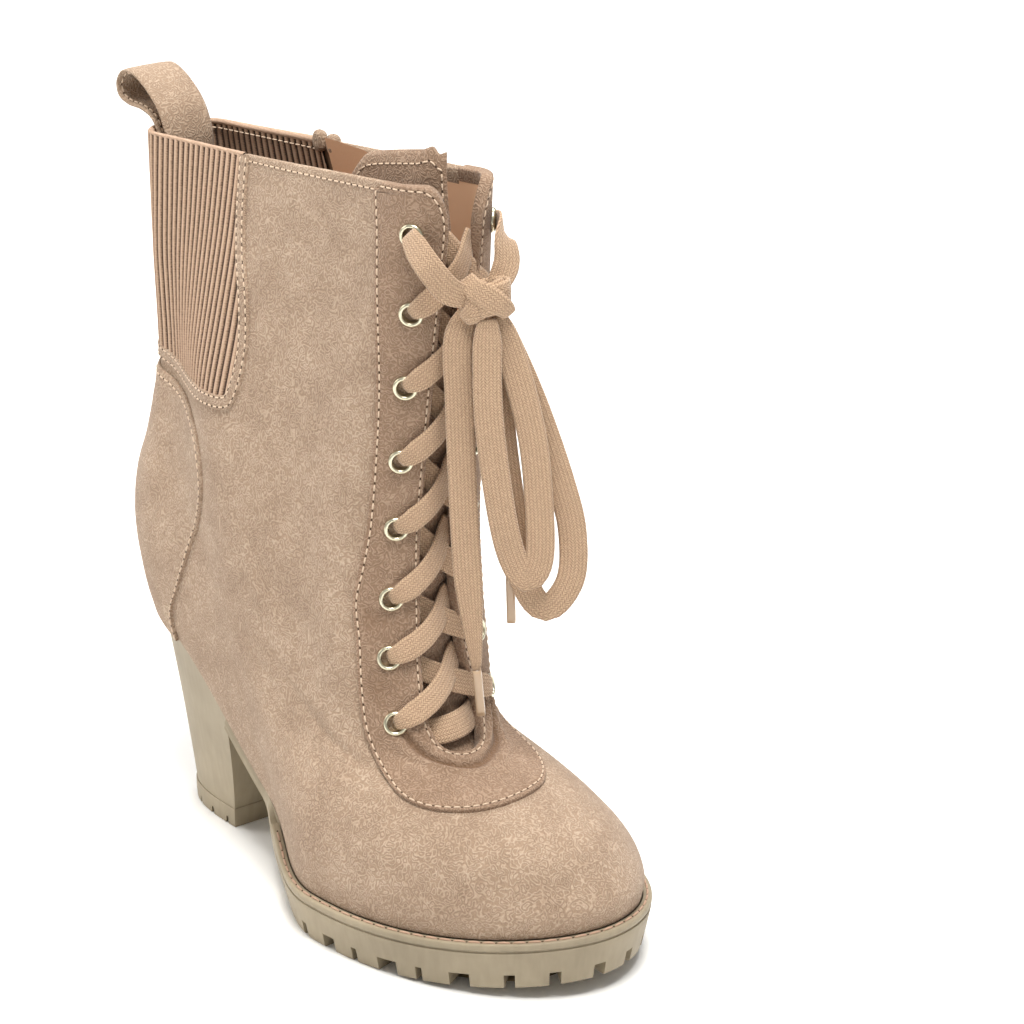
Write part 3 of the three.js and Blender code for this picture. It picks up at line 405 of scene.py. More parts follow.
def around(s, t):
    """Angle u at a distance s around the ring t."""
    s, t = np.broadcast_arrays(np.asarray(s, float), np.asarray(t, float))
    result = np.empty(s.shape)
    for k in np.ndindex(s.shape):
        row = min(max(t[k], 0), top_row + 0.99) / (top_row + 1) * ring_rows
        low = int(row)
        a = np.interp(s[k], ring_run[low], ring_u)
        b = np.interp(s[k], ring_run[low + 1], ring_u)
        result[k] = a + (b - a) * (row - low)
    return result


def distance_at(u, t):
    """Distance around the ring t at an angle u: the inverse of around."""
    row = np.clip(t, 0, top_row + 0.99) / (top_row + 1) * ring_rows
    col = (np.asarray(u) + math.pi) / (2 * math.pi) * ring_cols
    low, left = row.astype(int), np.clip(col.astype(int), 0, ring_cols - 1)
    a, b = row - low, col - left
    return ((ring_run[low, left] * (1 - b) + ring_run[low, left + 1] * b) * (1 - a)
            + (ring_run[low + 1, left] * (1 - b) + ring_run[low + 1, left + 1] * b) * a)


def on_side(x, z, side):
    """Angle and row at a place x and a height z on the outer (1) or inner (-1) side."""
    x, z = np.broadcast_arrays(np.asarray(x, float), np.asarray(z, float))
    t = np.full(x.shape, top_row / 2.0)
    u = np.full(x.shape, float(side))
    for _ in range(10):
        ends = skin(np.stack([np.zeros_like(t), np.full_like(t, math.pi)]), t)[..., 0]
        u = side * np.arccos(np.clip(2 * (x - ends[1]) / (ends[0] - ends[1]) - 1, -1, 1))
        low, high = np.zeros_like(t), np.full_like(t, top_row + 1.0)
        for _ in range(22):
            middle = (low + high) / 2
            below = skin(u, middle)[..., 2] < z
            low, high = np.where(below, middle, low), np.where(below, high, middle)
        t = (low + high) / 2
    return u, t


def spline(points, step=1.5):
    """Points at equal steps on a smooth plane curve through a list of pairs."""
    flat = np.c_[np.asarray(points, float), np.zeros(len(points))]
    return smooth_path(flat, step)[:, :2]


def inside(x, y, outline):
    """Whether points lie inside a closed plane outline."""
    x, y = np.asarray(x, float), np.asarray(y, float)
    found = np.zeros(x.shape, bool)
    for (ax, ay), (bx, by) in zip(outline, np.roll(outline, -1, axis=0)):
        if ay == by:
            continue
        crossing = (ay > y) != (by > y)
        found ^= crossing & (x < (bx - ax) * (y - ay) / (by - ay) + ax)
    return found


def grid_faces(rows, cols, closed=False):
    """Quads of a grid of points, row by row; closed joins the last column to the first."""
    faces = []
    for r in range(rows - 1):
        for c in range(cols if closed else cols - 1):
            d = (c + 1) % cols
            faces.append((r * cols + c, r * cols + d, (r + 1) * cols + d, (r + 1) * cols + c))
    return faces


# Throat opening: middle and half width by row
throat_rows = [6.85, 7.4, 8.2, 9.2, 11, 12.6]
throat_middle = [-2.5, -4.2, -3, -2.4, -1.5, 0]
throat_half = [10.5, 10.5, 8.4, 6.6, 6.4, 5.2]


def throat_edge(t, side, grow=0.0):
    t = np.asarray(t, float)
    row = np.minimum(t, throat_rows[-1])
    opening = np.sqrt(1 - (1 - np.clip((t - throat_rows[0] + grow / 18) / 0.5, 0, 1)) ** 2)
    top = np.clip((t - 12.6) / 0.4, 0, 1)
    half = through(throat_rows, throat_half, row) * opening + 9 * (1 - np.sqrt(1 - top * top)) + grow
    return through(throat_rows, throat_middle, row) + side * half


gore_outline = [(25.5, 262), (26, 232), (28, 214), (31, 200), (35.6, 186), (38, 174), (37.6, 165),
                (36, 157.5), (33, 153.4), (22, 152.2), (9, 152), (-1, 151.8), (-17, 153.5), (-33, 154.5),
                (-90, 155), (-90, 262)]
zip_heights = [96, 130, 170, 200, 236]
zip_places = [41, 40.5, 37.4, 32.9, 27.6]


def zip_line(z):
    return through(zip_heights, zip_places, np.clip(z, zip_heights[0], zip_heights[-1]))


# Faux suede: a dry nap that drinks the light. Its brushed fibres lie in curled ridges about half a
# millimetre wide and two long, paler on their crests, over a soft cloudy tone. A vertex attribute
# paints shade: it darkens the suede towards a dark brown in the troughs of the creases.
def make_suede(name, dark, mid, light):
    material, tree, shader = new_material(name)
    place = add_node(tree, "TexCoord").outputs["Object"]
    field = add_node(tree, "TexNoise", {"Vector": place, "Scale": 560, "Detail": 0.0})
    worm = add_node(tree, "Math", {0: field.outputs["Fac"], 1: 2 * math.pi * 4.2}, operation="MULTIPLY")
    worm = add_node(tree, "Math", {0: worm.outputs[0]}, operation="SINE")
    crest = add_node(tree, "MapRange", {"Value": worm.outputs[0], "From Min": -0.5, "From Max": 1.0})
    fibre = add_node(tree, "TexNoise", {"Vector": place, "Scale": 2600, "Detail": 2, "Roughness": 0.7})
    cloud = add_node(tree, "TexNoise", {"Vector": place, "Scale": 60, "Detail": 4, "Roughness": 0.7})
    height = add_node(tree, "Math", {0: fibre.outputs["Fac"], 1: 0.5, 2: crest.outputs[0]},
                      operation="MULTIPLY_ADD")
    tone = add_node(tree, "Math", {0: crest.outputs[0], 1: 0.16, 2: 0.09}, operation="MULTIPLY_ADD")
    for part in (fibre, cloud):
        tone = add_node(tree, "Math", {0: part.outputs["Fac"], 1: 0.35, 2: tone.outputs[0]},
                        operation="MULTIPLY_ADD")
    ramp = add_node(tree, "ValToRGB", {"Fac": tone.outputs[0]})
    ramp.color_ramp.elements[0].position = 0.25
    ramp.color_ramp.elements[0].color = linear(dark)
    ramp.color_ramp.elements[1].position = 0.75
    ramp.color_ramp.elements[1].color = linear(light)
    centre = ramp.color_ramp.elements.new(0.5)
    centre.color = linear(mid)
    crease_shade = add_node(tree, "Attribute", attribute_name="crease_shade")
    # Dark brown of the painted shade in the crease troughs
    crease_shaded = add_node(tree, "Mix", {6: ramp.outputs["Color"], 7: linear("#6f543f")}, data_type="RGBA")
    tree.links.new(crease_shade.outputs["Fac"], crease_shaded.inputs["Factor"])
    relief = add_node(tree, "Bump", {"Height": height.outputs[0], "Strength": 0.7, "Distance": 0.00022})
    tree.links.new(crease_shaded.outputs[2], shader.inputs["Base Color"])
    tree.links.new(relief.outputs["Normal"], shader.inputs["Normal"])
    shader.inputs["Roughness"].default_value = 0.95
    shader.inputs["Specular IOR Level"].default_value = 0.15
    shader.inputs["Sheen Weight"].default_value = 0.12
    shader.inputs["Sheen Roughness"].default_value = 0.5
    return material


suede = make_suede("napped_faux_suede", "#796353", "#9f8873", "#c6b19d")
# A darker copy of the same suede for the facing and the tongue. It is partly painted shade, where these
# parts turn away from the light and lie under the laces, and partly nap that hands have pressed flat
shaded_handled_suede = make_suede("shaded_and_handled_faux_suede", "#6c5644", "#8f7662", "#b39b86")

# Smooth polyurethane-faced lining, warm tan, with a faint fine grain. The tan is painted paler than
# its own, as painted light that stands in for the light the inside of the shaft does not get.
lining, tree, shader = new_material("smooth_tan_lining")
place = add_node(tree, "TexCoord").outputs["Object"]
grain = add_node(tree, "TexNoise", {"Vector": place, "Scale": 900, "Detail": 3})
cloud = add_node(tree, "TexNoise", {"Vector": place, "Scale": 30, "Detail": 2})
ramp = add_node(tree, "ValToRGB", {"Fac": cloud.outputs["Fac"]})
ramp.color_ramp.elements[0].color = linear("#e6bb98")
ramp.color_ramp.elements[1].color = linear("#f0c8a6")
relief = add_node(tree, "Bump", {"Height": grain.outputs["Fac"], "Strength": 0.15, "Distance": 0.0002})
tree.links.new(ramp.outputs["Color"], shader.inputs["Base Color"])
tree.links.new(relief.outputs["Normal"], shader.inputs["Normal"])
shader.inputs["Roughness"].default_value = 0.5


def outer_relief(u, t):
    """Soft creases pressed into the suede by wear and by the lacing, in millimetres."""
    s = distance_at(u, t)
    depth = np.zeros(s.shape)
    for row, centre, length, tall, deep in (
            (6.3, 46, 24, 0.3, 0.45), (7.0, 52, 26, 0.3, -0.35), (7.9, 56, 26, 0.32, 0.4),
            (8.8, 54, 24, 0.35, -0.3), (6.3, -46, 24, 0.3, 0.5), (7.0, -52, 26, 0.3, -0.4),
            (7.9, -56, 26, 0.32, 0.45), (8.8, -54, 24, 0.35, -0.3)):
        slant = row + 0.014 * (np.abs(s) - abs(centre))
        depth += deep * np.exp(-((t - slant) / tall) ** 2 - ((s - centre) / length) ** 2)
    return -depth


rows_up = np.r_[np.linspace(0, 4, 70, endpoint=False), np.linspace(4, 8, 70, endpoint=False),
                np.linspace(8, 12.93, 110)]
columns_round = 420
v = np.arange(columns_round) * 2 * math.pi / columns_round - math.pi
grid_u, grid_t = np.meshgrid(v + 0.18 * np.sin(2 * v), rows_up)
outer_points = shell(grid_u, grid_t, outer_relief(grid_u, grid_t))
faces = np.array(grid_faces(len(rows_up), columns_round, closed=True))
middle_u = np.arctan2(np.sin(grid_u).ravel()[faces].mean(1), np.cos(grid_u).ravel()[faces].mean(1))
middle_t = grid_t.ravel()[faces].mean(1)
middle = skin(middle_u, middle_t)
run = distance_at(middle_u, middle_t)


def kept_faces(throat_grow, gore_grow, zip_half):
    """Faces outside the throat, the gore's opening and the zip's slot."""
    in_throat = (middle_t > 6.85 - throat_grow / 18) & (run < throat_edge(middle_t, 1, throat_grow)) \
        & (run > throat_edge(middle_t, -1, throat_grow))
    shrunk = np.array(gore_outline) - [[gore_grow, 0]]
    in_gore = inside(middle[:, 0], middle[:, 2] - gore_grow, shrunk)
    beside_zip = np.abs(middle[:, 0] - zip_line(middle[:, 2]))
    in_zip = (middle_u < 0) & (middle[:, 2] > zip_heights[0] - 0.5) & (beside_zip < zip_half)
    return ~(in_throat | in_gore | in_zip)


upper = add_mesh("vamp_and_shaft", outer_points, faces[kept_faces(1.5, 0.3, 3.0)], [suede])
grid_u, grid_t = grid_u[::2, ::2], grid_t[::2, ::2]
inner_points = shell(grid_u, grid_t, np.full(grid_u.shape, -wall))
faces = np.array(grid_faces(*grid_u.shape, closed=True))
middle_u = np.arctan2(np.sin(grid_u).ravel()[faces].mean(1), np.cos(grid_u).ravel()[faces].mean(1))
middle_t = grid_t.ravel()[faces].mean(1)
middle = skin(middle_u, middle_t)
run = distance_at(middle_u, middle_t)
inner = add_mesh("shaft_lining", inner_points, faces[kept_faces(1.0, -1.5, 4.0)][:, ::-1], [lining])
for piece, slot in ((upper, "suede"), (inner, "lining")):
    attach(piece, "root")
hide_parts("upper")


def add_strip(name, u, t, lift, material):
    """A band mesh from rows of angles and ring rows, with how far out each point lies."""
    made = add_mesh(name, shell(u, t, lift), grid_faces(*u.shape), [material])
    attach(made, "root")
    return made


# Waxed polyester thread, paler than the suede, in stitches about 3 mm long
thread, tree, shader = new_material("waxed_polyester_thread")
shader.inputs["Base Color"].default_value = linear("#cdb59d")
shader.inputs["Roughness"].default_value = 0.55
# Needle holes: the dark ends where each stitch goes down
needle_hole, tree, shader = new_material("shaded_needle_hole")
shader.inputs["Base Color"].default_value = linear("#4e3b2e")
shader.inputs["Roughness"].default_value = 1.0


def add_stitches(name, lines, material=None, pitch=2.9, length=2.2, thick=0.55, hole=0.42):
    """Short sunk threads along 3-D lines. Each line is its points and the way its surface faces."""
    points, faces, kinds = [], [], []
    ring = np.linspace(0, 2 * math.pi, 6, endpoint=False)
    for path, facing in lines:
        path, facing = np.asarray(path, float), np.asarray(facing, float)
        run = np.r_[0, np.cumsum(np.linalg.norm(np.diff(path, axis=0), axis=1))]
        for start in np.arange(pitch / 2, run[-1] - length / 2, pitch):
            at = start + length * np.array([-0.5, -0.38, 0, 0.38, 0.5])
            centre = np.stack([np.interp(at, run, path[:, k]) for k in range(3)], 1)
            face = unit(np.stack([np.interp(start, run, facing[:, k]) for k in range(3)]))
            along = unit(centre[-1] - centre[0])
            side = np.cross(along, face)
            lift = np.array([-0.35, 0.12, 0.3, 0.12, -0.35]) * thick
            size = np.array([0.35, 0.9, 1, 0.9, 0.35]) * thick / 2
            first = len(points)
            for c, up, radius in zip(centre, lift, size):
                for a in ring:
                    points.append(c + face * (up + radius * math.sin(a)) + side * radius * math.cos(a))
            for r in range(4):
                for j in range(6):
                    low, next_j = first + r * 6, (j + 1) % 6
                    faces.append((low + j, low + next_j, low + 6 + next_j, low + 6 + j))
                    kinds.append(0)
            if hole:
                first = len(points)
                spot = centre[-1] + along * (pitch - length) / 2 + face * 0.05
                for a in ring:
                    points.append(spot + along * hole * math.cos(a) + side * hole * 0.8 * math.sin(a))
                faces.append(tuple(range(first, first + 6))[::-1])
                kinds.append(1)
    made = add_mesh(name, np.array(points), faces, [material or thread, needle_hole], kinds)
    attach(made, "root")
    return made


def line_on(u, t, out):
    return shell(u, t, np.full(np.shape(u), out)), outward(u, t)


# Facing and apron: a second layer of suede around the eyelets that ends in a round apron on the
# vamp. Its outer edge is cut raw, its throat edge is bound, and both are stitched down.

# Outer seam as distance around and row, from the collar on the outer side to the inner side's
seam = spline([
    (32.3, 12.9), (28.6, 12.48), (25.6, 11.95), (22.1, 11.28), (20.6, 10.6), (20.5, 10.0), (22.5, 9.5),
    (25, 9.05), (24.8, 8.55), (26.2, 7.98), (27.6, 7.4), (27.8, 6.88), (31.8, 6.03), (33.8, 5.25),
    (33.0, 4.85), (29.5, 4.64), (24, 4.55), (17, 4.52), (10, 4.55), (3, 4.6), (-5, 4.66), (-13, 4.72),
    (-21, 4.88), (-27, 5.15), (-30.5, 5.6), (-33, 6.3), (-34.5, 7), (-33.5, 7.6), (-30.5, 8.5),
    (-29.5, 9.05), (-27, 9.5), (-25.5, 10.0), (-25, 10.8), (-25.2, 11.28), (-27, 12), (-29.6, 12.6),
    (-32.3, 12.9)], 0.25)
round_middle, round_row, round_half, round_drop = -4.3, 7.62, 10.45, 0.77
bottom = np.linspace(math.pi / 2, -math.pi / 2, 41)
side_rows = np.r_[12.6 + 0.4 * np.sin(np.linspace(math.pi / 2, 0, 50)),
                  np.linspace(12.6, round_row, 150)[1:]]
edge_out = np.stack([throat_edge(side_rows, 1), side_rows], 1)
edge_in = np.stack([throat_edge(side_rows, -1), side_rows], 1)[::-1]
round_part = np.stack([round_middle + round_half * np.sin(bottom),
                       round_row - round_drop * np.cos(bottom)], 1)
front_run = np.r_[0, np.cumsum(np.linalg.norm(np.diff(skin(0.3, ring_t), axis=0), axis=1))]


def flattened(line):
    """Distance and row as millimetres in a plane."""
    return np.stack([line[:, 0], np.interp(line[:, 1], ring_t, front_run)], 1)


def unflattened(flat):
    return np.stack([flat[:, 0], np.interp(flat[:, 1], front_run, ring_t)], 1)


def resampled(line, count):
    """A line in distance and row, at equal steps of its length in millimetres."""
    flat = flattened(line)
    run = np.r_[0, np.cumsum(np.linalg.norm(np.diff(flat, axis=0), axis=1))]
    at = np.linspace(0, run[-1], count)
    return unflattened(np.stack([np.interp(at, run, flat[:, 0]), np.interp(at, run, flat[:, 1])], 1))


def moved(line, distance):
    """The line moved sideways, away from the throat for a positive distance."""
    flat = flattened(line)
    along = unit(np.gradient(flat, axis=0))
    return unflattened(flat + np.stack([-along[:, 1], along[:, 0]], 1) * distance)


outer_split = int(np.argmax(seam[:, 1] < 6.6))
inner_split = len(seam) - int(np.argmax(seam[::-1, 1] < 6.6))
seam_line = np.vstack([resampled(seam[:outer_split], 400)[:-1],
                       resampled(seam[outer_split - 1:inner_split + 1], 302)[:-1],
                       resampled(seam[inner_split:], 400)])
edge_line = np.vstack([resampled(edge_out, 400)[:-1], resampled(round_part, 302)[:-1],
                       resampled(edge_in, 400)])
along_collar = np.linspace(29.5, 14.3, 60)
seam_start = np.stack([np.full(60, 32.3), np.linspace(12.93, 12.903, 60)], 1)
edge_line = np.vstack([np.stack([along_collar, np.full(60, 13.0)], 1), edge_line,
                       np.stack([-along_collar[::-1], np.full(60, 13.0)], 1)])
seam_line = np.vstack([seam_start, seam_line, (seam_start * [-1, 1])[::-1]])
facing_steps = len(edge_line)
# Section of the layer: in from the throat's edge, turned over from inside, and in from the seam
near = [(4.6, -2.1), (2.4, -2.35), (0.7, -2.3), (0.15, -2.2), (0.0, -1.9), (0.0, 0.8), (0.12, 1.2),
        (0.4, 1.4), (1.0, 1.42), (1.4, 1.22), (1.8, 1.4), (2.3, 1.45)]
far = [(2.3, 1.42), (1.9, 1.35), (1.5, 1.2), (1.1, 1.36), (0.5, 1.36), (0.15, 1.15), (0.0, 0.7),
       (0.0, -0.2)]
body_rows = 32
first, last = moved(edge_line, 2.3), moved(seam_line, -2.3)
place = [moved(edge_line, d) for d, _ in near]
place += [first + (last - first) * k / (body_rows + 1) for k in range(1, body_rows + 1)]
place += [moved(seam_line, -d) for d, _ in far]
place = np.array(place)
lift = np.array([h for _, h in near] + [1.42] * body_rows + [h for _, h in far])[:, None]
lift = lift * np.ones((1, facing_steps))
lift[:, [0, -1]] = np.minimum(lift[:, [0, -1]], -0.3)
# Creases: rings below the throat's round end, and short folds at the bend of the instep
below = np.hypot(place[..., 0] - round_middle,
                 np.interp(place[..., 1], ring_t, front_run) - np.interp(round_row, ring_t, front_run))
under = np.clip((7.7 - place[..., 1]) / 0.5, 0, 1)
sway = 0.8 * np.sin(place[..., 0] * 0.3 + 1)
folds = np.zeros(lift.shape)
for ring_at, wide, deep in ((14.2, 1.2, 0.8), (16.9, 1.4, -0.8), (19.8, 1.6, 1.25), (23.2, 2.0, -0.7)):
    folds += deep * np.exp(-((below - ring_at - sway) / wide) ** 2) * under
for row, centre, length, tall, deep in (
        (8.9, 20, 9, 0.16, 0.45), (9.25, 22, 8, 0.14, -0.35), (7.95, 22, 8, 0.2, 0.4),
        (8.9, -25, 9, 0.16, 0.45), (7.9, -27, 8, 0.2, 0.4)):
    folds += deep * np.exp(-((place[..., 1] - row) / tall) ** 2 - ((place[..., 0] - centre) / length) ** 2)
steps = np.arange(len(place))
body = np.minimum(steps - len(near) + 1, len(near) + body_rows - 1 - steps)
body = np.clip(body / 3, 0, 1)[:, None]
lift = lift - folds * body
u = around(place[..., 0], place[..., 1])
facing_points = shell(u, place[..., 1], lift)
faces = np.array(grid_faces(*u.shape))
middle = facing_points.reshape(-1, 3)[faces].mean(1)
# Eyelets from the collar down: the ring row of each pair, and its distance from the front
eyelet_rows = [12.58, 11.9, 11.25, 10.6, 9.98, 9.2, 8.43, 7.53]
eyelet_places = [15.3, 13.4, 12.9, 12.1, 11.8, 12.9, 14.7, 16.2]


def eyelet_spot(k, side):
    t = eyelet_rows[k]
    s = eyelet_places[k]
    if side < 0:
        s = 2 * float(through(throat_rows, throat_middle, min(t, throat_rows[-1]))) - s
    return s, t


def outside_eyelets(spots, radius):
    """Which points lie outside a radius of every eyelet's axis."""
    kept = np.ones(len(spots), bool)
    for k in range(len(eyelet_rows)):
        for side in (1, -1):
            s, t = eyelet_spot(k, side)
            u = float(around(s, t))
            centre, face = skin(u, t), outward(u, t)
            away_from = spots - centre
            along = away_from @ face
            radial = np.linalg.norm(away_from - along[:, None] * face, axis=1)
            kept &= (radial > radius) | (np.abs(along) > 8)
    return kept


# The facing takes the darker suede copy: painted shade together with pressed nap
facing = add_mesh("facing_and_apron", facing_points, faces[outside_eyelets(middle, 3.0)],
                  [shaded_handled_suede])
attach(facing, "root")
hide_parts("facing")
# Painted shade: the suede darkens in the troughs of the creases below the throat and at the instep
crease_shade = facing.data.attributes.new("crease_shade", "FLOAT", "POINT")
crease_shade.data.foreach_set("value", (np.clip(folds, 0, 0.9) * 0.85 * body).astype(np.float32).ravel())
rows = []
for line in (moved(edge_line, 1.4), moved(seam_line, -1.5)):
    rows.append(line_on(around(line[:, 0], line[:, 1]), line[:, 1], 1.28))
add_stitches("facing_stitches", rows)

# Heel counter: a stiffened overlay of the same suede around the heel, cemented over the upper and
# sewn once along its edge. Its front edge is one long curve, and its foot ends on the sole.

counter_edge = spline([(-0.5, 57), (-1, 69), (0.5, 76), (4.3, 82.5), (8.2, 91), (11.8, 100), (16.9, 111),
                       (20.3, 121), (19.3, 131), (14.6, 138.5), (4, 144), (-8, 146.8), (-18, 148.4),
                       (-28, 149.6), (-38.6, 149.8)], 1.0)
outer_u, outer_t = on_side(counter_edge[:, 0], counter_edge[:, 1], 1)
inner_u, inner_t = on_side(counter_edge[:, 0], counter_edge[:, 1], -1)
keep = counter_edge[:, 0] > -33
edge_u = np.r_[outer_u[keep], 2 * math.pi + inner_u[keep][::-1]]
edge_t = np.r_[outer_t[keep], inner_t[keep][::-1]]
counter_columns = 300
order = np.linspace(0, len(edge_u) - 1, counter_columns)
edge_u = np.interp(order, np.arange(len(edge_u)), edge_u)
edge_t = np.interp(order, np.arange(len(edge_t)), edge_t)
foot_u = np.linspace(edge_u[0], edge_u[-1], counter_columns)
foot_t = np.zeros(counter_columns)
share = np.r_[np.linspace(0, 0.9, 26), 0.93, 0.95, 0.97, 0.985, 0.995, 1, 1][:, None]
lift = np.r_[np.full(26, 1.15), 1.05, 1.12, 1.15, 1.1, 0.85, 0.5, -0.2][:, None]
lift = lift * np.ones((1, counter_columns))
u = foot_u + (edge_u - foot_u) * share
t = foot_t + (edge_t - foot_t) * share
counter = add_strip("heel_counter_panel", u, t, lift, suede)
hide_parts("heel_counter")
line_u = foot_u + (edge_u - foot_u) * 0.978
line_t = foot_t + (edge_t - foot_t) * 0.978
add_stitches("counter_stitches", [line_on(line_u, line_t, 1.1)])

# Gore: a woven elastic panel around the back of the shaft, its rubber cords standing as upright
# ribs on both faces. Its edge is folded under a narrow suede binding that is stitched twice.

# Ribbed elastic: matt woven yarn over rubber cords, each rib crossed by fine weft threads. Its colour
# is painted dark in the grooves between the ribs and pale on their crests: painted shade and light.
elastic, tree, shader = new_material("ribbed_elastic_webbing")
place = add_node(tree, "TexCoord").outputs["Object"]
parts = add_node(tree, "SeparateXYZ", {"Vector": place})
weft = add_node(tree, "Math", {0: parts.outputs["Z"], 1: 2 * math.pi / 0.0008}, operation="MULTIPLY")
weft = add_node(tree, "Math", {0: weft.outputs[0]}, operation="SINE")
fuzz = add_node(tree, "TexNoise", {"Vector": place, "Scale": 1500, "Detail": 2})
tone = add_node(tree, "Math", {0: weft.outputs[0], 1: 0.1, 2: fuzz.outputs["Fac"]},
                operation="MULTIPLY_ADD")
crest = add_node(tree, "Attribute", attribute_name="rib_light_and_shade")
shade = add_node(tree, "Math", {0: tone.outputs[0], 1: 0.5, 2: -0.25}, operation="MULTIPLY_ADD")
shade = add_node(tree, "Math", {0: crest.outputs["Fac"], 1: shade.outputs[0]}, operation="ADD")
# From the dark groove tone to the pale crest tone: the painted shade and light of the ribs
ramp = add_node(tree, "ValToRGB", {"Fac": shade.outputs[0]})
ramp.color_ramp.elements[0].position = 0.3
ramp.color_ramp.elements[0].color = linear("#49382d")
ramp.color_ramp.elements[1].position = 0.95
ramp.color_ramp.elements[1].color = linear("#bb9e87")
middle_tone = ramp.color_ramp.elements.new(0.66)
middle_tone.color = linear("#9c8069")
relief = add_node(tree, "Bump", {"Height": tone.outputs[0], "Strength": 0.5, "Distance": 0.0002})
tree.links.new(ramp.outputs["Color"], shader.inputs["Base Color"])
tree.links.new(relief.outputs["Normal"], shader.inputs["Normal"])
shader.inputs["Roughness"].default_value = 0.9

rib_pitch = 3.0
rib_steps = 30 * 12
climb = np.linspace(8.2, 12.985, 90)
back_out = distance_at(np.full(90, math.pi), climb)[:, None]
back_in = distance_at(np.full(90, -math.pi), climb)[:, None]
reach = np.arange(rib_steps + 1) * rib_pitch / 12
gore_t = np.broadcast_to(climb[:, None], (90, 2 * rib_steps + 1))
gore_u = np.hstack([around(back_out - reach[::-1], gore_t[:, :rib_steps + 1]),
                    2 * math.pi + around(back_in + reach[1:], gore_t[:, :rib_steps])])
phase = np.abs(np.cos(np.arange(-rib_steps, rib_steps + 1) * math.pi / 12))
rise = 1.2 * phase ** 0.6 - 0.6
for name, lifts, cap in (("ribbed_gore", rise, False), ("ribbed_gore_inside", -1.1 - 0.6 * rise, True)):
    points = shell(gore_u, gore_t, np.broadcast_to(lifts, gore_u.shape))
    faces = np.array(grid_faces(*gore_u.shape))
    centres = points.reshape(-1, 3)[faces].mean(1)
    inside_gore = inside(centres[:, 0], centres[:, 2], np.array(gore_outline) - [[0.2, 0]])
    in_zip = (centres[:, 1] > 0) & (np.abs(centres[:, 0] - zip_line(centres[:, 2])) < 3.0)
    faces = faces[inside_gore & ~in_zip]
    made = add_mesh(name, points, faces[:, ::-1] if cap else faces, [elastic])
    # Painted light and shade of the ribs: 1 on each crest, 0 in each groove
    crest = made.data.attributes.new("rib_light_and_shade", "FLOAT", "POINT")
    crest.data.foreach_set("value", np.broadcast_to(phase, gore_u.shape).astype(np.float32).ravel())
    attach(made, "root")
    if not cap:
        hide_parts("gore")


def band_along(name, u, t, profile, material):
    """A strip along a line on the skin. The profile lists how far across and how far out it goes."""
    u, t = np.asarray(u, float), np.asarray(t, float)
    step = 0.002
    across_u = (skin(u + step, t) - skin(u - step, t)) / (2 * step)
    across_t = (skin(u, t + 0.02) - skin(u, t - 0.02)) / 0.04
    side = unit(np.cross(outward(u, t), np.gradient(skin(u, t), axis=0)))
    uu, ut, tt = (np.sum(a * b, axis=1) for a, b in ((across_u, across_u), (across_u, across_t),
                                                   (across_t, across_t)))
    us, ts = np.sum(across_u * side, axis=1), np.sum(across_t * side, axis=1)
    full = uu * tt - ut * ut
    move_u, move_t = (us * tt - ts * ut) / full, (ts * uu - us * ut) / full
    across = np.array([p[0] for p in profile])[:, None]
    lifts = np.array([p[1] for p in profile])[:, None] * np.ones((1, len(u)))
    points = shell(u + across * move_u, t + across * move_t, lifts)
    if name:
        made = add_mesh(name, points, [f[::-1] for f in grid_faces(*lifts.shape)], [material])
        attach(made, "root")
    return points


def rows_along(u, t, offsets, out):
    """Stitch lines beside a line on the skin."""
    return [(band_along("", u, t, [(d, out)], None)[0], outward(u, t)) for d in offsets]


front_edge = spline(gore_outline[1:14], 1.0)
front_edge = front_edge[front_edge[:, 1] < collar_line(front_edge[:, 0]) - 0.4]
front_edge = front_edge[front_edge[:, 0] > -36]
outer_u, outer_t = on_side(front_edge[:, 0], front_edge[:, 1], 1)
inner_edge = front_edge[(front_edge[:, 1] < 160) & (front_edge[:, 0] < 34.5)][::-1]
inner_u, inner_t = on_side(inner_edge[:, 0], inner_edge[:, 1], -1)
binding_u = np.r_[outer_u, 2 * math.pi + inner_u]
binding_t = np.r_[outer_t, inner_t]
run = np.r_[0, np.cumsum(np.linalg.norm(np.diff(skin(binding_u, binding_t), axis=0), axis=1))]
at = np.linspace(0, run[-1], 320)
binding_u, binding_t = np.interp(at, run, binding_u), np.interp(at, run, binding_t)
band_along("gore_binding", binding_u, binding_t, [
    (-2.3, -0.3), (-2.3, 0.5), (-2.0, 0.8), (-1.5, 0.72), (-0.9, 0.85), (0.8, 0.85), (1.4, 0.7),
    (1.9, 0.8), (2.2, 0.5), (2.3, -0.1)], suede)
add_stitches("gore_stitches", rows_along(binding_u, binding_t, (-1.5, 1.4), 0.7),
             pitch=2.7, length=1.8, hole=0.6)

# Zip: a spiral nylon coil in bronze on a brown tape, set into the inner side in front of the gore.
# Its slider is a small cast body. Seams hold both edges, and a tan leather guard is sewn inside the
# shaft in front of it.

zip_top = float(collar_line(27.6)) - 1
zip_z = np.linspace(zip_heights[0], zip_top, 220)
zip_u, zip_t = on_side(zip_line(zip_z), zip_z, -1)
# Woven polyester tape, dull brown
zip_tape, tree, shader = new_material("brown_zip_tape")
shader.inputs["Base Color"].default_value = linear("#6f573f")
shader.inputs["Roughness"].default_value = 0.9
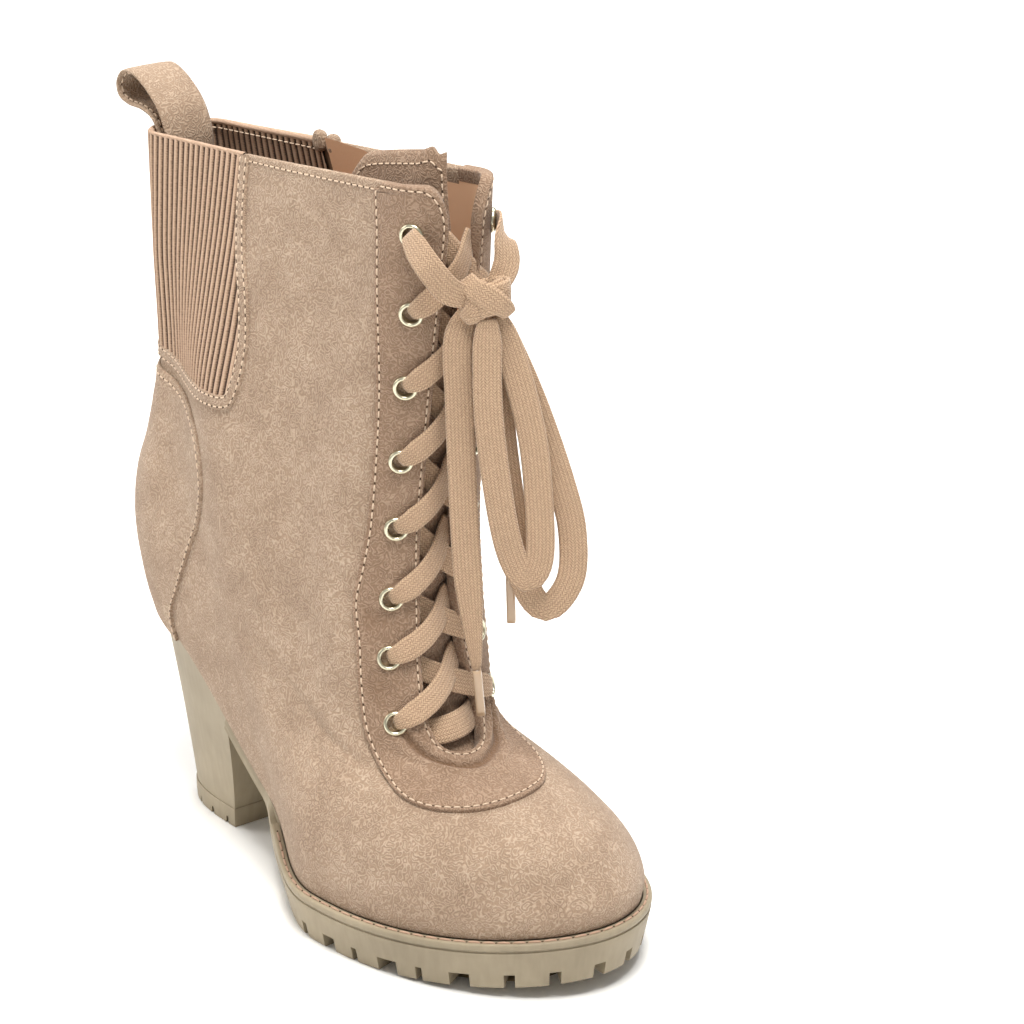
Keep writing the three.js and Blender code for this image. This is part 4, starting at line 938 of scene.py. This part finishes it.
# Bronze lacquer on coil and slider: a warm metal with soft highlights
bronze, tree, shader = new_material("bronze_lacquered_metal")
place = add_node(tree, "TexCoord").outputs["Object"]
rub = add_node(tree, "TexNoise", {"Vector": place, "Scale": 700, "Detail": 2})
ramp = add_node(tree, "ValToRGB", {"Fac": rub.outputs["Fac"]})
ramp.color_ramp.elements[0].color = linear("#6b4c30")
ramp.color_ramp.elements[1].color = linear("#9a7651")
tree.links.new(ramp.outputs["Color"], shader.inputs["Base Color"])
shader.inputs["Metallic"].default_value = 0.8
shader.inputs["Roughness"].default_value = 0.38
band_along("zip_tape", zip_u, zip_t, [(-3.2, -0.4), (-3.1, -0.8), (0, -0.85), (3.1, -0.8), (3.2, -0.4)],
           zip_tape)
fold_profile = ((4.4, 0.0), (4.2, 0.4), (3.7, 0.55), (3.2, 0.45), (2.9, 0.0), (2.85, -0.8))
for name, side in (("zip_edge_back", -1), ("zip_edge_front", 1)):
    band_along(name, zip_u, zip_t, [(side * d, h) for d, h in fold_profile][::-side], suede)
add_stitches("zip_seams", rows_along(zip_u, zip_t, (-5.2, 5.2), 0.0))
teeth = []
coil_run = np.linspace(0, len(zip_z) - 1.001, int((zip_top - 97) / 1.2))
left_line, right_line = band_along("", zip_u, zip_t, [(-1.5, -0.35), (0.5, -0.35)], None)
left_low, right_low = band_along("", zip_u, zip_t, [(-0.5, -0.35), (1.5, -0.35)], None)
face_line = outward(zip_u, zip_t)
for k, position in enumerate(coil_run):
    index = int(position)
    pair = (left_line, right_line) if k % 2 else (left_low, right_low)
    middle = (pair[0][index] + pair[1][index]) / 2
    reach = (pair[1][index] - pair[0][index]) * 0.62
    teeth.append((np.array([middle - reach, middle + reach]), np.array([face_line[index]] * 2)))
coil = add_stitches("zip_coil", teeth, bronze, pitch=2.4, length=2.2, thick=0.95, hole=0)
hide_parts("zip")


def add_block(name, centre, sides, sizes, material, power=4.0):
    """A cushion-shaped block: sides are its three directions, sizes its half lengths."""
    a, b = np.meshgrid(np.linspace(-math.pi, math.pi, 32, endpoint=False), np.linspace(-1.5, 1.5, 17))

    def rounded(value):
        return np.sign(value) * np.abs(value) ** (2 / power)

    shape = np.stack([rounded(np.cos(b)) * rounded(np.cos(a)), rounded(np.cos(b)) * rounded(np.sin(a)),
                      rounded(np.sin(b))], -1) * sizes
    points = np.asarray(centre) + shape @ np.asarray(sides)
    made = add_mesh(name, points, grid_faces(*a.shape, closed=True), [material])
    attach(made, "root")
    return made


spot_u, spot_t = (float(v) for v in on_side(zip_line(zip_top - 6), zip_top - 6, -1))
spot, face = shell(spot_u, spot_t, 1.6), outward(spot_u, spot_t)
level = unit(np.cross([0, 0, 1.0], face))
rise_up = np.cross(face, level)
slider = add_block("slider_body", spot, [level, rise_up, face], [3.0, 4.9, 1.0], bronze)
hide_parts("zip_slider")
bridge = add_block("slider_bridge", spot + face * 1.0 + rise_up * 0.8, [level, rise_up, face],
                   [0.9, 3.0, 0.6], bronze)
# Smooth tan leather of the guard, with fine pores and a soft shine. Its tan is painted pale, as
# painted light that stands in for the light the guard does not get inside the shaft.
guard_leather, tree, shader = new_material("smooth_tan_leather")
place = add_node(tree, "TexCoord").outputs["Object"]
pores = add_node(tree, "TexVoronoi", {"Vector": place, "Scale": 1100})
relief = add_node(tree, "Bump", {"Height": pores.outputs["Distance"], "Strength": 0.2, "Distance": 0.0002})
tree.links.new(relief.outputs["Normal"], shader.inputs["Normal"])
shader.inputs["Base Color"].default_value = linear("#e3b794")
shader.inputs["Roughness"].default_value = 0.45
guard_a, guard_b = np.meshgrid(np.linspace(2.4, 30, 60), np.linspace(0, 1, 60))
corner = 9 * (1 - np.sqrt(1 - np.clip((guard_a - 21) / 9, 0, 1) ** 2))
guard_foot = 110
guard_z = guard_foot + (zip_top + 3.2 - guard_foot - corner) * guard_b
guard_u, guard_t = on_side(zip_line(guard_z) + guard_a, guard_z, -1)
guard = add_mesh("zip_guard", shell(guard_u, guard_t, np.full(guard_u.shape, -2.9)),
                 [f[::-1] for f in grid_faces(*guard_u.shape)], [guard_leather])
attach(guard, "root")

# Collar: the top edge of suede and lining, turned over and top-stitched once. Behind, the elastic
# of the gore is folded over and stitched inside, and two small folds end the zip's tape.

collar_spans = []
outer_end = float(on_side(25.6, collar_line(25.6) - 1, 1)[0])
zip_front = float(on_side(zip_line(234.0) + 4.2, 233.0, -1)[0])
collar_spans.append(np.linspace(around(29.5, 13.0), outer_end, 90))
collar_spans.append(np.linspace(zip_front, around(-29.5, 13.0), 90))
rim_profile = np.array([(12.9, 0.0), (12.965, 0.1), (12.99, 0.02), (13.0, -0.35), (12.985, -0.9),
                        (12.95, -1.0), (12.985, -1.15), (13.0, -1.6), (12.97, -2.05), (12.9, -2.1),
                        (12.84, -2.0)])
for k, span in enumerate(collar_spans):
    u = np.broadcast_to(span, (len(rim_profile), len(span)))
    t = np.broadcast_to(rim_profile[:, :1], u.shape)
    rim = add_strip("collar_rim_%d" % (k + 1), u, t, np.broadcast_to(rim_profile[:, 1:], u.shape), suede)
add_stitches("collar_stitches", [line_on(span, np.full(len(span), 12.915), 0.0) for span in collar_spans])
back_span = np.linspace(outer_end, 2 * math.pi + float(on_side(zip_line(234.0) - 3.4, 233.0, -1)[0]), 300)
rim_profile = np.array([(12.955, 0.0), (12.97, 0.4), (12.99, 0.45), (13.01, 0.1), (13.015, -0.8),
                        (12.99, -1.5), (12.96, -1.7), (12.93, -1.4)])
u = np.broadcast_to(back_span, (len(rim_profile), len(back_span)))
t = np.broadcast_to(rim_profile[:, :1], u.shape)
rim = add_strip("gore_rim", u, t, np.broadcast_to(rim_profile[:, 1:], u.shape), elastic)
# The folded rim gets the pale crest tone of that painted light
crest = rim.data.attributes.new("rib_light_and_shade", "FLOAT", "POINT")
crest.data.foreach_set("value", np.full(u.size, 0.85, dtype=np.float32))
stitch_t = np.full(len(back_span), 12.86)
add_stitches("gore_rim_stitches", [(shell(back_span, stitch_t, np.full(len(back_span), -1.75)),
                                    -outward(back_span, stitch_t))])
for k, side in enumerate((-1, 1)):
    u, t = (float(v) for v in on_side(zip_line(zip_top) + side * 3.4, zip_top + 0.3, -1))
    fold = add_block("zip_tape_end_%d" % (k + 1), shell(u, t, -0.9), np.eye(3), [2.8, 1.9, 3.4], suede, 2.6)

# Pull strap: a strip of the suede folded double and stitched along both sides. Its legs are sewn
# inside the collar at the back, and the loop leans back over the heel.

pull_foot = collar_back - 8
pull_path = spline([(-25.4, pull_foot), (-26.2, pull_foot + 8), (-30.4, pull_foot + 15.6),
                    (-38, pull_foot + 21.4), (-45.5, pull_foot + 24.3), (-51, pull_foot + 23.4),
                    (-53.8, pull_foot + 19.4), (-52.4, pull_foot + 15.4), (-47.4, pull_foot + 13.8),
                    (-40, pull_foot + 13.6), (-33.4, pull_foot + 11.4), (-30, pull_foot + 6),
                    (-29, pull_foot)], 0.7)
pull_line = np.stack([pull_path[:, 0], np.zeros(len(pull_path)), pull_path[:, 1]], 1)
pull_along = unit(np.gradient(pull_line, axis=0))
pull_face = np.cross([0.0, -1, 0], pull_along)
pull = add_tape("pull_strap", pull_line, pull_face, 18, 1.6, suede)
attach(pull, "root")
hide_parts("pull_loop")
rows = []
for offset in (-7.3, 7.3):
    rows.append((pull_line + [0, offset, 0] + pull_face * 0.78, pull_face))
add_stitches("pull_stitches", rows)

# Tongue: padded suede over lining, sewn in below the throat, its free edge stitched all around.
# Its top stands above the collar and leans out over the outer side.

tongue_rows = [6.2, 7, 9, 11, 12.2, 13, 13.6]
tongue_inner = [-16, -19, -17, -11, -3, 6, 10]
tongue_outer = [14, 18, 24, 34, 43.5, 55, 60]
tongue_drop = [1.3, 1.3, 1.4, 2, 3.1, 4.2, 5.2]


def tongue_at(a, b, deep):
    """Point of the tongue: a goes across from the inner side, b up, deep back from its face."""
    top = 13.2 - 0.05 * a + through([0, 0.2, 0.5, 0.8, 1], [-0.03, 0.07, 0.05, 0, -0.27], a)
    top -= 0.045 * np.exp(-((a - 0.08) / 0.05) ** 2)
    t = tongue_rows[0] + (top - tongue_rows[0]) * b
    s = through(tongue_rows, tongue_inner, t) * (1 - a) + through(tongue_rows, tongue_outer, t) * a
    u = around(s, t)
    return shell(u, t, -wall - through(tongue_rows, tongue_drop, t) - deep), outward(u, t)


bead = np.linspace(0, math.pi, 7)[1:-1]
loop_a = np.r_[np.linspace(0, 1, 50), 1 + 0.012 * np.sin(bead), np.linspace(1, 0, 50),
               -0.012 * np.sin(bead)]
loop_deep = np.r_[np.zeros(50), 0.9 - 0.9 * np.cos(bead), np.full(50, 1.8), 0.9 + 0.9 * np.cos(bead)]
a, b = np.meshgrid(loop_a, np.r_[np.linspace(0, 1, 90), 1.004, 1.006])
pinch = np.r_[np.ones(90), 0.6, 0.1][:, None]
points = tongue_at(a, b, 0.9 + (np.broadcast_to(loop_deep, a.shape) - 0.9) * pinch)[0]
# The tongue takes the darker suede copy: painted shade together with pressed nap
tongue = add_mesh("padded_tongue", points, [f[::-1] for f in grid_faces(*a.shape, closed=True)],
                  [shaded_handled_suede])
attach(tongue, "root")
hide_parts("tongue")
border_a = np.r_[np.full(60, 0.05), np.linspace(0.05, 0.955, 40), np.full(60, 0.955)]
border_b = np.r_[np.linspace(0.2, 0.988, 60), np.full(40, 0.988), np.linspace(0.988, 0.2, 60)]
add_stitches("tongue_stitches", [tongue_at(border_a, border_b, 0.0)])

# Eyelets: pale gold-plated brass, eight on each side. Each has a rolled flange on the facing and a
# barrel through it that is clenched inside.

# Bright plated brass: a polished pale gold that mirrors the room
plated, tree, shader = new_material("pale_gold_plated_brass")
shader.inputs["Base Color"].default_value = linear("#d4cfb6")
shader.inputs["Metallic"].default_value = 1.0
shader.inputs["Roughness"].default_value = 0.28

profile = np.array([(3.3, -2.6), (2.9, -2.75), (2.55, -2.5), (2.5, -2.0), (2.5, 1.7), (2.56, 2.1),
                    (2.75, 2.4), (3.1, 2.5), (3.45, 2.4), (3.68, 2.1), (3.75, 1.7), (3.72, 1.4)])
turn = np.linspace(0, 2 * math.pi, 40, endpoint=False)
for k in range(len(eyelet_rows)):
    for side in (1, -1):
        s, t = eyelet_spot(k, side)
        u = float(around(s, t))
        centre, face = skin(u, t), outward(u, t)
        level = unit(np.cross([0, 0, 1.0], face))
        upward = np.cross(face, level)
        ring = np.cos(turn)[:, None] * level + np.sin(turn)[:, None] * upward
        points = centre + profile[:, 0][:, None, None] * ring + profile[:, 1][:, None, None] * face
        eyelet = add_mesh("eyelet_ring_%s_%d" % ("outer" if side > 0 else "inner", k + 1), points,
                          [f[::-1] for f in grid_faces(len(profile), len(turn), closed=True)], [plated])
        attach(eyelet, "root")
        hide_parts("eyelet_%s_%d" % ("outer" if side > 0 else "inner", k + 1))

# Lacing: the same cotton tape, up from the bar through each pair of eyelets. Each run leaves an
# eyelet on top, crosses the tongue, and dives under the opposite edge of the throat.


def lace_run(name, start, end, heights, ends, node=None, width=7.6):
    """A tape over the skin between two places (distance, row), at heights along its way."""
    share = np.linspace(0, 1, 40)
    t = start[1] + (end[1] - start[1]) * share
    s = start[0] + (end[0] - start[0]) * share
    u = around(s, t)
    path = shell(u, t, np.interp(share, heights[0], heights[1]))
    rounded = smooth_path(path[::3], 1.0)
    at, out = np.linspace(0, 1, len(rounded)), outward(u, t)
    face = np.stack([np.interp(at, share, out[:, k]) for k in range(3)], 1)
    tape = add_tape(name, rounded, face, width, 1.3, cotton, ends)
    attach(tape, "root")
    if node:
        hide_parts(node)


for k in range(len(eyelet_rows) - 1, 0, -1):
    for side in (1, -1):
        s, t = eyelet_spot(k, side)
        high = eyelet_rows[k - 1] - 0.06
        end = float(throat_edge(high, -side, 1.5))
        heights = ([0.8, 2.3, 3.05, 3.0, 2.4, 1.3, -0.3, -2.1, -2.7] if side > 0
                   else [0.8, 2.3, 3.0, 2.2, 0.6, -0.5, -1.4, -2.3, -2.7])
        lace_run("lace_run_%d_%s" % (k, "outer" if side > 0 else "inner"), (s, t), (end, high),
                 ([0, 0.06, 0.13, 0.3, 0.45, 0.6, 0.75, 0.88, 1], heights), (0.5, 0.9),
                 "lace_crossing_%d" % k if side > 0 else None)
low = eyelet_rows[-1] - 0.1
lace_run("lace_bar_run", (float(throat_edge(low, 1, 1.5)), low), (float(throat_edge(low, -1, 1.5)), low),
         ([0, 0.12, 0.3, 0.5, 0.7, 0.88, 1], [-2.6, -1.8, -0.7, -0.3, -0.7, -1.8, -2.6]), (0.9, 0.9),
         "lace_bar", 8.6)
for name, side, route in (
        ("lace_lead_outer", 1, [(117.2, -13.4, 214.6), (120.4, -8, 206.8), (122, -1, 203.8)]),
        ("lace_lead_inner", -1, [(118.4, 13.2, 219.6), (121.6, 12, 212), (122.6, 7, 205)])):
    s, t = eyelet_spot(0, side)
    u = float(around(s, t))
    start = [shell(u, t, h) for h in (0.6, 3.0)]
    path = smooth_path(np.vstack([start, route]), 1.0)
    face = np.linspace(outward(u, t), away, len(path))
    tape = add_tape(name + "_tape", path, face, lace_width, 1.3, cotton, (0.5, 0.7))
    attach(tape, "root")
    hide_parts(name)

# Knot of the bow: the tape wrapped once around the strands and tucked through, pulled tight, so
# that two short tucks of it show in front.

turn = np.linspace(-0.35, 2 * math.pi - 0.35, 70)
wrap = (knot_place + np.sin(turn)[:, None] * across * 6.6 + np.cos(turn)[:, None] * away * 4.1
        + (np.sin(turn)[:, None] * 1.6 + 0.4) * np.array([0, 0, 1.0]))
face = unit(np.sin(turn)[:, None] * across * 0.62 + np.cos(turn)[:, None] * away)
knot = add_tape("knot_wrap", wrap, face, 9.4, 1.7, cotton, (0.9, 0.9))
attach(knot, "root")
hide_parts("lace_knot")
for name, route in (
        ("knot_tuck_upper", [(-5.5, 1.6, 7.0), (-3.5, 3.6, 4.6), (0, 4.6, 2.6), (4.2, 4.2, -0.5),
                             (6.8, 1.6, -3.5)]),
        ("knot_tuck_lower", [(5.6, 1.2, 5.2), (3.2, 3.0, 3.4), (0, 3.4, 0.5), (-3.6, 3.2, -3.2),
                             (-6, 1.2, -5.4)])):
    path = smooth_path([knot_place + across * a + away * b + np.array([0, 0, c]) for a, b, c in route], 0.8)
    tuck = add_tape(name, path, away, 7.6, 1.7, cotton, (0.6, 0.6))
    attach(tuck, "root")

# Outsole: one moulding of thermoplastic rubber, a flat sprung platform with square lugs, running
# out over the waist to the front of the heel. Its side leans in and has a groove under the welt.

# Moulded rubber in olive beige: satin, with a faint pebble and faint streaks drawn out upright
sole_rubber, tree, shader = new_material("moulded_olive_beige_rubber")
place = add_node(tree, "TexCoord").outputs["Object"]
pebble = add_node(tree, "TexNoise", {"Vector": place, "Scale": 1400, "Detail": 2})
cloud = add_node(tree, "TexNoise", {"Vector": place, "Scale": 26, "Detail": 4, "Roughness": 0.6})
brush = add_node(tree, "Mapping", {"Vector": place, "Rotation": (0.0, 0.5, 0.0), "Scale": (1.0, 1.0, 0.12)})
streak = add_node(tree, "TexNoise", {"Vector": brush.outputs[0], "Scale": 520, "Detail": 2})
tone = add_node(tree, "Math", {0: streak.outputs["Fac"], 1: 0.3, 2: cloud.outputs["Fac"]},
                operation="MULTIPLY_ADD")
ramp = add_node(tree, "ValToRGB", {"Fac": tone.outputs[0]})
ramp.color_ramp.elements[0].position = 0.4
ramp.color_ramp.elements[0].color = linear("#877b66")
ramp.color_ramp.elements[1].position = 0.85
ramp.color_ramp.elements[1].color = linear("#a0937c")
height = add_node(tree, "Math", {0: streak.outputs["Fac"], 1: 0.5, 2: pebble.outputs["Fac"]},
                  operation="MULTIPLY_ADD")
relief = add_node(tree, "Bump", {"Height": height.outputs[0], "Strength": 0.12, "Distance": 0.0003})
tree.links.new(ramp.outputs["Color"], shader.inputs["Base Color"])
tree.links.new(relief.outputs["Normal"], shader.inputs["Normal"])
shader.inputs["Roughness"].default_value = 0.58
shader.inputs["Specular IOR Level"].default_value = 0.4

platform_back = 66.0
platform_slope = 15.0
lip_start = platform_back - platform_slope
lug_height = 4.6


def sole_top(x):
    return seat(x) - gap


def underside(x):
    share = ease((x - platform_back + platform_slope) / platform_slope)
    return (sole_top(x) - 4.2) * (1 - share) + spring(x) * share


def lip_at(x):
    return welt_lip * ease((x - lip_start + 6) / 14)


def foot_line(u):
    """Foot of the upper from above, and the level direction out of it."""
    here = skin(u, 0)
    along = skin(np.asarray(u) + 0.001, 0) - skin(np.asarray(u) - 0.001, 0)
    return here, unit(np.stack([-along[..., 1], along[..., 0], 0 * along[..., 0]], -1))


def sharpen(made, degrees):
    """Keeps the edges that turn more than an angle crisp under smooth shading."""
    made.data.set_sharp_from_angle(angle=math.radians(degrees))


# Notches: distance from the toe along the foot line (positive on the outer side) and width
notches = [(2.8, 3.8), (16.5, 3.5), (30.1, 3.3), (45.6, 6.5), (59, 2.1), (70.4, 7.1), (83.3, 2.1),
           (94.3, 5.1), (106.5, 2.6), (127.5, 5), (-9.5, 3.4), (-22, 3.5), (-34.5, 3.5), (-47.5, 6.5),
           (-60.5, 2.1), (-72, 7), (-84.5, 2.1), (-96, 5), (-108, 2.6), (-126, 5)]
fine_u = np.linspace(-math.pi, math.pi, 4001)
fine_foot = foot_line(fine_u)[0]
fine_run = np.r_[0, np.cumsum(np.linalg.norm(np.diff(fine_foot, axis=0), axis=1))]
fine_run -= fine_run[2000]
ends = fine_run[np.flatnonzero(fine_foot[:, 0] > 24.4)[[0, -1]]]
stations = np.linspace(ends[0], ends[1], 700)
for s, width in notches:
    for edge in (-width / 2, width / 2):
        for nudge in (-0.3, -0.04, 0.04, 0.3):
            stations = np.append(stations, s + edge + nudge)
stations = np.unique(np.clip(stations, *ends))
column_u = np.interp(stations, fine_run, fine_u)
foot, out = foot_line(column_u)
reach_at = np.zeros(len(stations))
for s, width in notches:
    reach_at[np.abs(stations - s) < width / 2] = 11 if width > 3 else 6
x = foot[:, 0]
lip = lip_at(x)
draft = 2.9 * ease((x - lip_start) / platform_slope)
carved = 0.45 * ease((x - lip_start) / 10)
inset = np.minimum(np.minimum(0, lip - 0.9), lip - 0.4)
top, bottom = sole_top(x), underside(x)
ceiling = np.where(reach_at > 0, bottom + lug_height, bottom)
rows = [(inset, top), (inset, top - 2 * ease((x - lip_start) / 4) - gap), (lip - 0.2 - carved, top - 2.3),
        (lip - 0.2 - carved, top - 2.75), (lip - 0.25, top - 2.95), (lip - 0.2, top - 3.3)]
for share in (0.15, 0.3, 0.45, 0.6, 0.75, 0.9, 0.97):
    z = (top - 3.3) * (1 - share) + bottom * share
    rows.append((lip - 0.2 - (draft - 0.2) * share, np.maximum(z, ceiling)))
rows.append((lip - draft - 0.25, np.maximum(bottom + 0.02, ceiling)))
half = np.maximum(np.abs(foot[:, 1] - 2), 1)
limit = np.where(x < 70, half, 13.0)
for d in (0.6, 2, 4, 5.9, 6.0, 6.1, 8, 10.9, 11.0, 11.1, 13, 17, 22, 28, 35, 44):
    z = np.where(reach_at > d + 0.05, ceiling, bottom)
    rows.append((lip - draft - np.minimum(d, limit), z))
points = np.array([np.stack([foot[:, 0] + out[:, 0] * across_by, foot[:, 1] + out[:, 1] * across_by, z], 1)
                   for across_by, z in rows])
sole = add_mesh("lugged_outsole", points, [f[::-1] for f in grid_faces(len(rows), len(stations))],
                [sole_rubber])
sharpen(sole, 32)
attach(sole, "root")
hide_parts("outsole")
grooves = np.arange(platform_back + 14.6, toe_reach - 35, 14.6)
plate_x = np.linspace(lip_start + 4, toe_reach - 15, 90)
for groove in grooves:
    plate_x = np.append(plate_x, groove + np.array([-1.55, -1.5, 1.5, 1.55]))
plate_x = np.sort(plate_x)
outer_line, inner_line = fine_foot[fine_u > 0], fine_foot[fine_u < 0]
outer_y = np.interp(plate_x, outer_line[::-1, 0], outer_line[::-1, 1]) + 7
inner_y = np.interp(plate_x, inner_line[:, 0], inner_line[:, 1]) - 7
share = np.linspace(0, 1, 30)[:, None]
plate_y = outer_y + (inner_y - outer_y) * share
deep = np.zeros_like(plate_y)
for groove in grooves:
    deep += 2.7 * ((np.abs(plate_x - groove) < 1.52) & (np.abs(plate_y) < 23.1))
plate = np.stack([np.broadcast_to(plate_x, plate_y.shape), plate_y, underside(plate_x) + 0.03 + deep], -1)
tread = add_mesh("tread_middle", plate, [f[::-1] for f in grid_faces(*plate_y.shape)], [sole_rubber])
sharpen(tread, 30)
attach(tread, "root")

# Welt: a strip of the same rubber around the forepart, cemented on the platform's edge, with a row
# of long stitches in its top.

# Heavy pinkish thread of the welt
welt_thread, tree, shader = new_material("heavy_pinkish_welt_thread")
shader.inputs["Base Color"].default_value = linear("#b0907a")
shader.inputs["Roughness"].default_value = 0.6
welt_u = column_u[x > lip_start + 7]
foot, out = foot_line(welt_u)
x = foot[:, 0]
lip = np.maximum(lip_at(x), 1.2)
top = sole_top(x)
rows = [(0.3 + 0 * lip, top + 0.1), (lip - 1.9, top + 0.15), (lip - 1.5, top - 0.05),
        (lip - 1.1, top + 0.1), (lip - 0.35, top + 0.05), (lip - 0.05, top - 0.3), (lip, top - 0.8),
        (lip, top - 1.5), (lip - 0.15, top - 2), (0.3 + 0 * lip, top - 2.1)]
points = np.array([np.stack([foot[:, 0] + out[:, 0] * by, foot[:, 1] + out[:, 1] * by, z], 1)
                   for by, z in rows])
welt = add_mesh("welt_strip", points, [f[::-1] for f in grid_faces(len(rows), len(welt_u))], [sole_rubber])
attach(welt, "root")
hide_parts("welt")
seam_line = foot + out * (lip - 1.5)[:, None]
seam_line[:, 2] = top + 0.1
add_stitches("welt_stitches", [(seam_line, unit(np.array([0, 0, 1.0]) + out * 0.4))], welt_thread,
             pitch=4.6, length=3.9, thick=0.8)

# Heel: one moulded block of the sole's rubber, square in front and round behind. It tapers down to
# the lift and is fixed under the seat from inside.


def heel_ring(front, back, half, height):
    turn = np.linspace(0, 1, 41)
    share = np.r_[np.sin(turn * math.pi / 2), np.sin(turn[::-1] * math.pi / 2)[1:]]
    side = np.r_[-np.ones(41), np.ones(40)]
    px = front + (back - front) * share
    py = side * half * (1 - np.clip(share, 0, 1) ** 2.8) ** (1 / 2.8)
    breast = np.linspace(1, -1, 12)[1:-1]
    px = np.r_[px, np.full(10, front)]
    py = np.r_[py, breast * half]
    return np.stack([px, py, height(px)], 1)


heel_foot = heel_ring(18, -18, 19.5, lambda v: 0 * v + 6.75)
heel_top = heel_ring(24, -31.4, 26.2, sole_top)
share = np.linspace(0, 1, 24)[:, None, None]
rings = heel_foot * (1 - share) + heel_top * share
rings[:, :, 0] += 4 * (share * (1 - share))[:, :, 0]
heel = add_mesh("heel_block", rings, grid_faces(*rings.shape[:2], closed=True), [sole_rubber])
sharpen(heel, 40)
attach(heel, "root")
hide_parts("heel")

# Heel lift: a rubber top piece fixed under the block, a hair wider than it, with short slits up
# from the floor on both sides.

base = heel_ring(18, -18, 19.5, lambda v: 0 * v)
lift_columns = 420
rows = []
lift_run = np.r_[0, np.cumsum(np.linalg.norm(np.diff(base, axis=0), axis=1))]
at = np.linspace(0, lift_run[-1], lift_columns, endpoint=False)
base = np.stack([np.interp(at, lift_run, base[:, k]) for k in range(3)], 1)
slit = np.zeros(len(base))
for place in (-13.5, -4.5, 4.5, 13.5):
    slit[(np.abs(base[:, 0] - place) < 0.7) & (np.abs(base[:, 1]) > 8)] = 1
for grow, z, pull in (
        (-0.35, 6.75, 0), (0.25, 6.7, 0), (0.4, 6.4, 0), (0.3, 2.75, 0), (0.25, 2.6, 1), (0.1, 0.25, 1),
        (-0.3, 0.0, 1), (-3, 0.0, 1), (-6, 0.0, 1), (-6.1, 0.0, 0), (-17, 0.0, 0)):
    direction = unit(base * [1, 1, 0])
    ring = base + direction * grow
    ring[:, 2] = np.where((slit > 0) & (z < 2.6) & (pull > 0), 2.6, z)
    rows.append(ring)
lift = add_mesh("rubber_heel_lift", np.array(rows),
                [f[::-1] for f in grid_faces(len(rows), lift_columns, closed=True)], [sole_rubber])
sharpen(lift, 35)
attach(lift, "root")
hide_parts("heel_lift")

# Insole: a padded sock of lining glued on its board, from the toe up over the seat. The upper is
# lasted around the board, so only the sock shows, from above.

sock_u = np.linspace(-math.pi, math.pi, 240, endpoint=False)
foot, out = foot_line(sock_u)
rows = []
for inset, lift_by in ((2.5, 0.3), (2.5, 2.4), (2.8, 2.9), (3.6, 3.1), (6, 3.05), (12, 2.9)):
    ring = foot - out * inset
    ring[:, 2] = seat(ring[:, 0]) + lift_by
    rows.append(ring)
for share in (0.6, 0.3, 0.0):
    ring = rows[5] * [1, share, 1]
    ring[:, 2] = seat(ring[:, 0]) + 2.9
    rows.append(ring)
insole = add_mesh("sock_and_board", np.array(rows),
                  [f[::-1] for f in grid_faces(len(rows), len(sock_u), closed=True)], [lining])
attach(insole, "root")
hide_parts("insole")
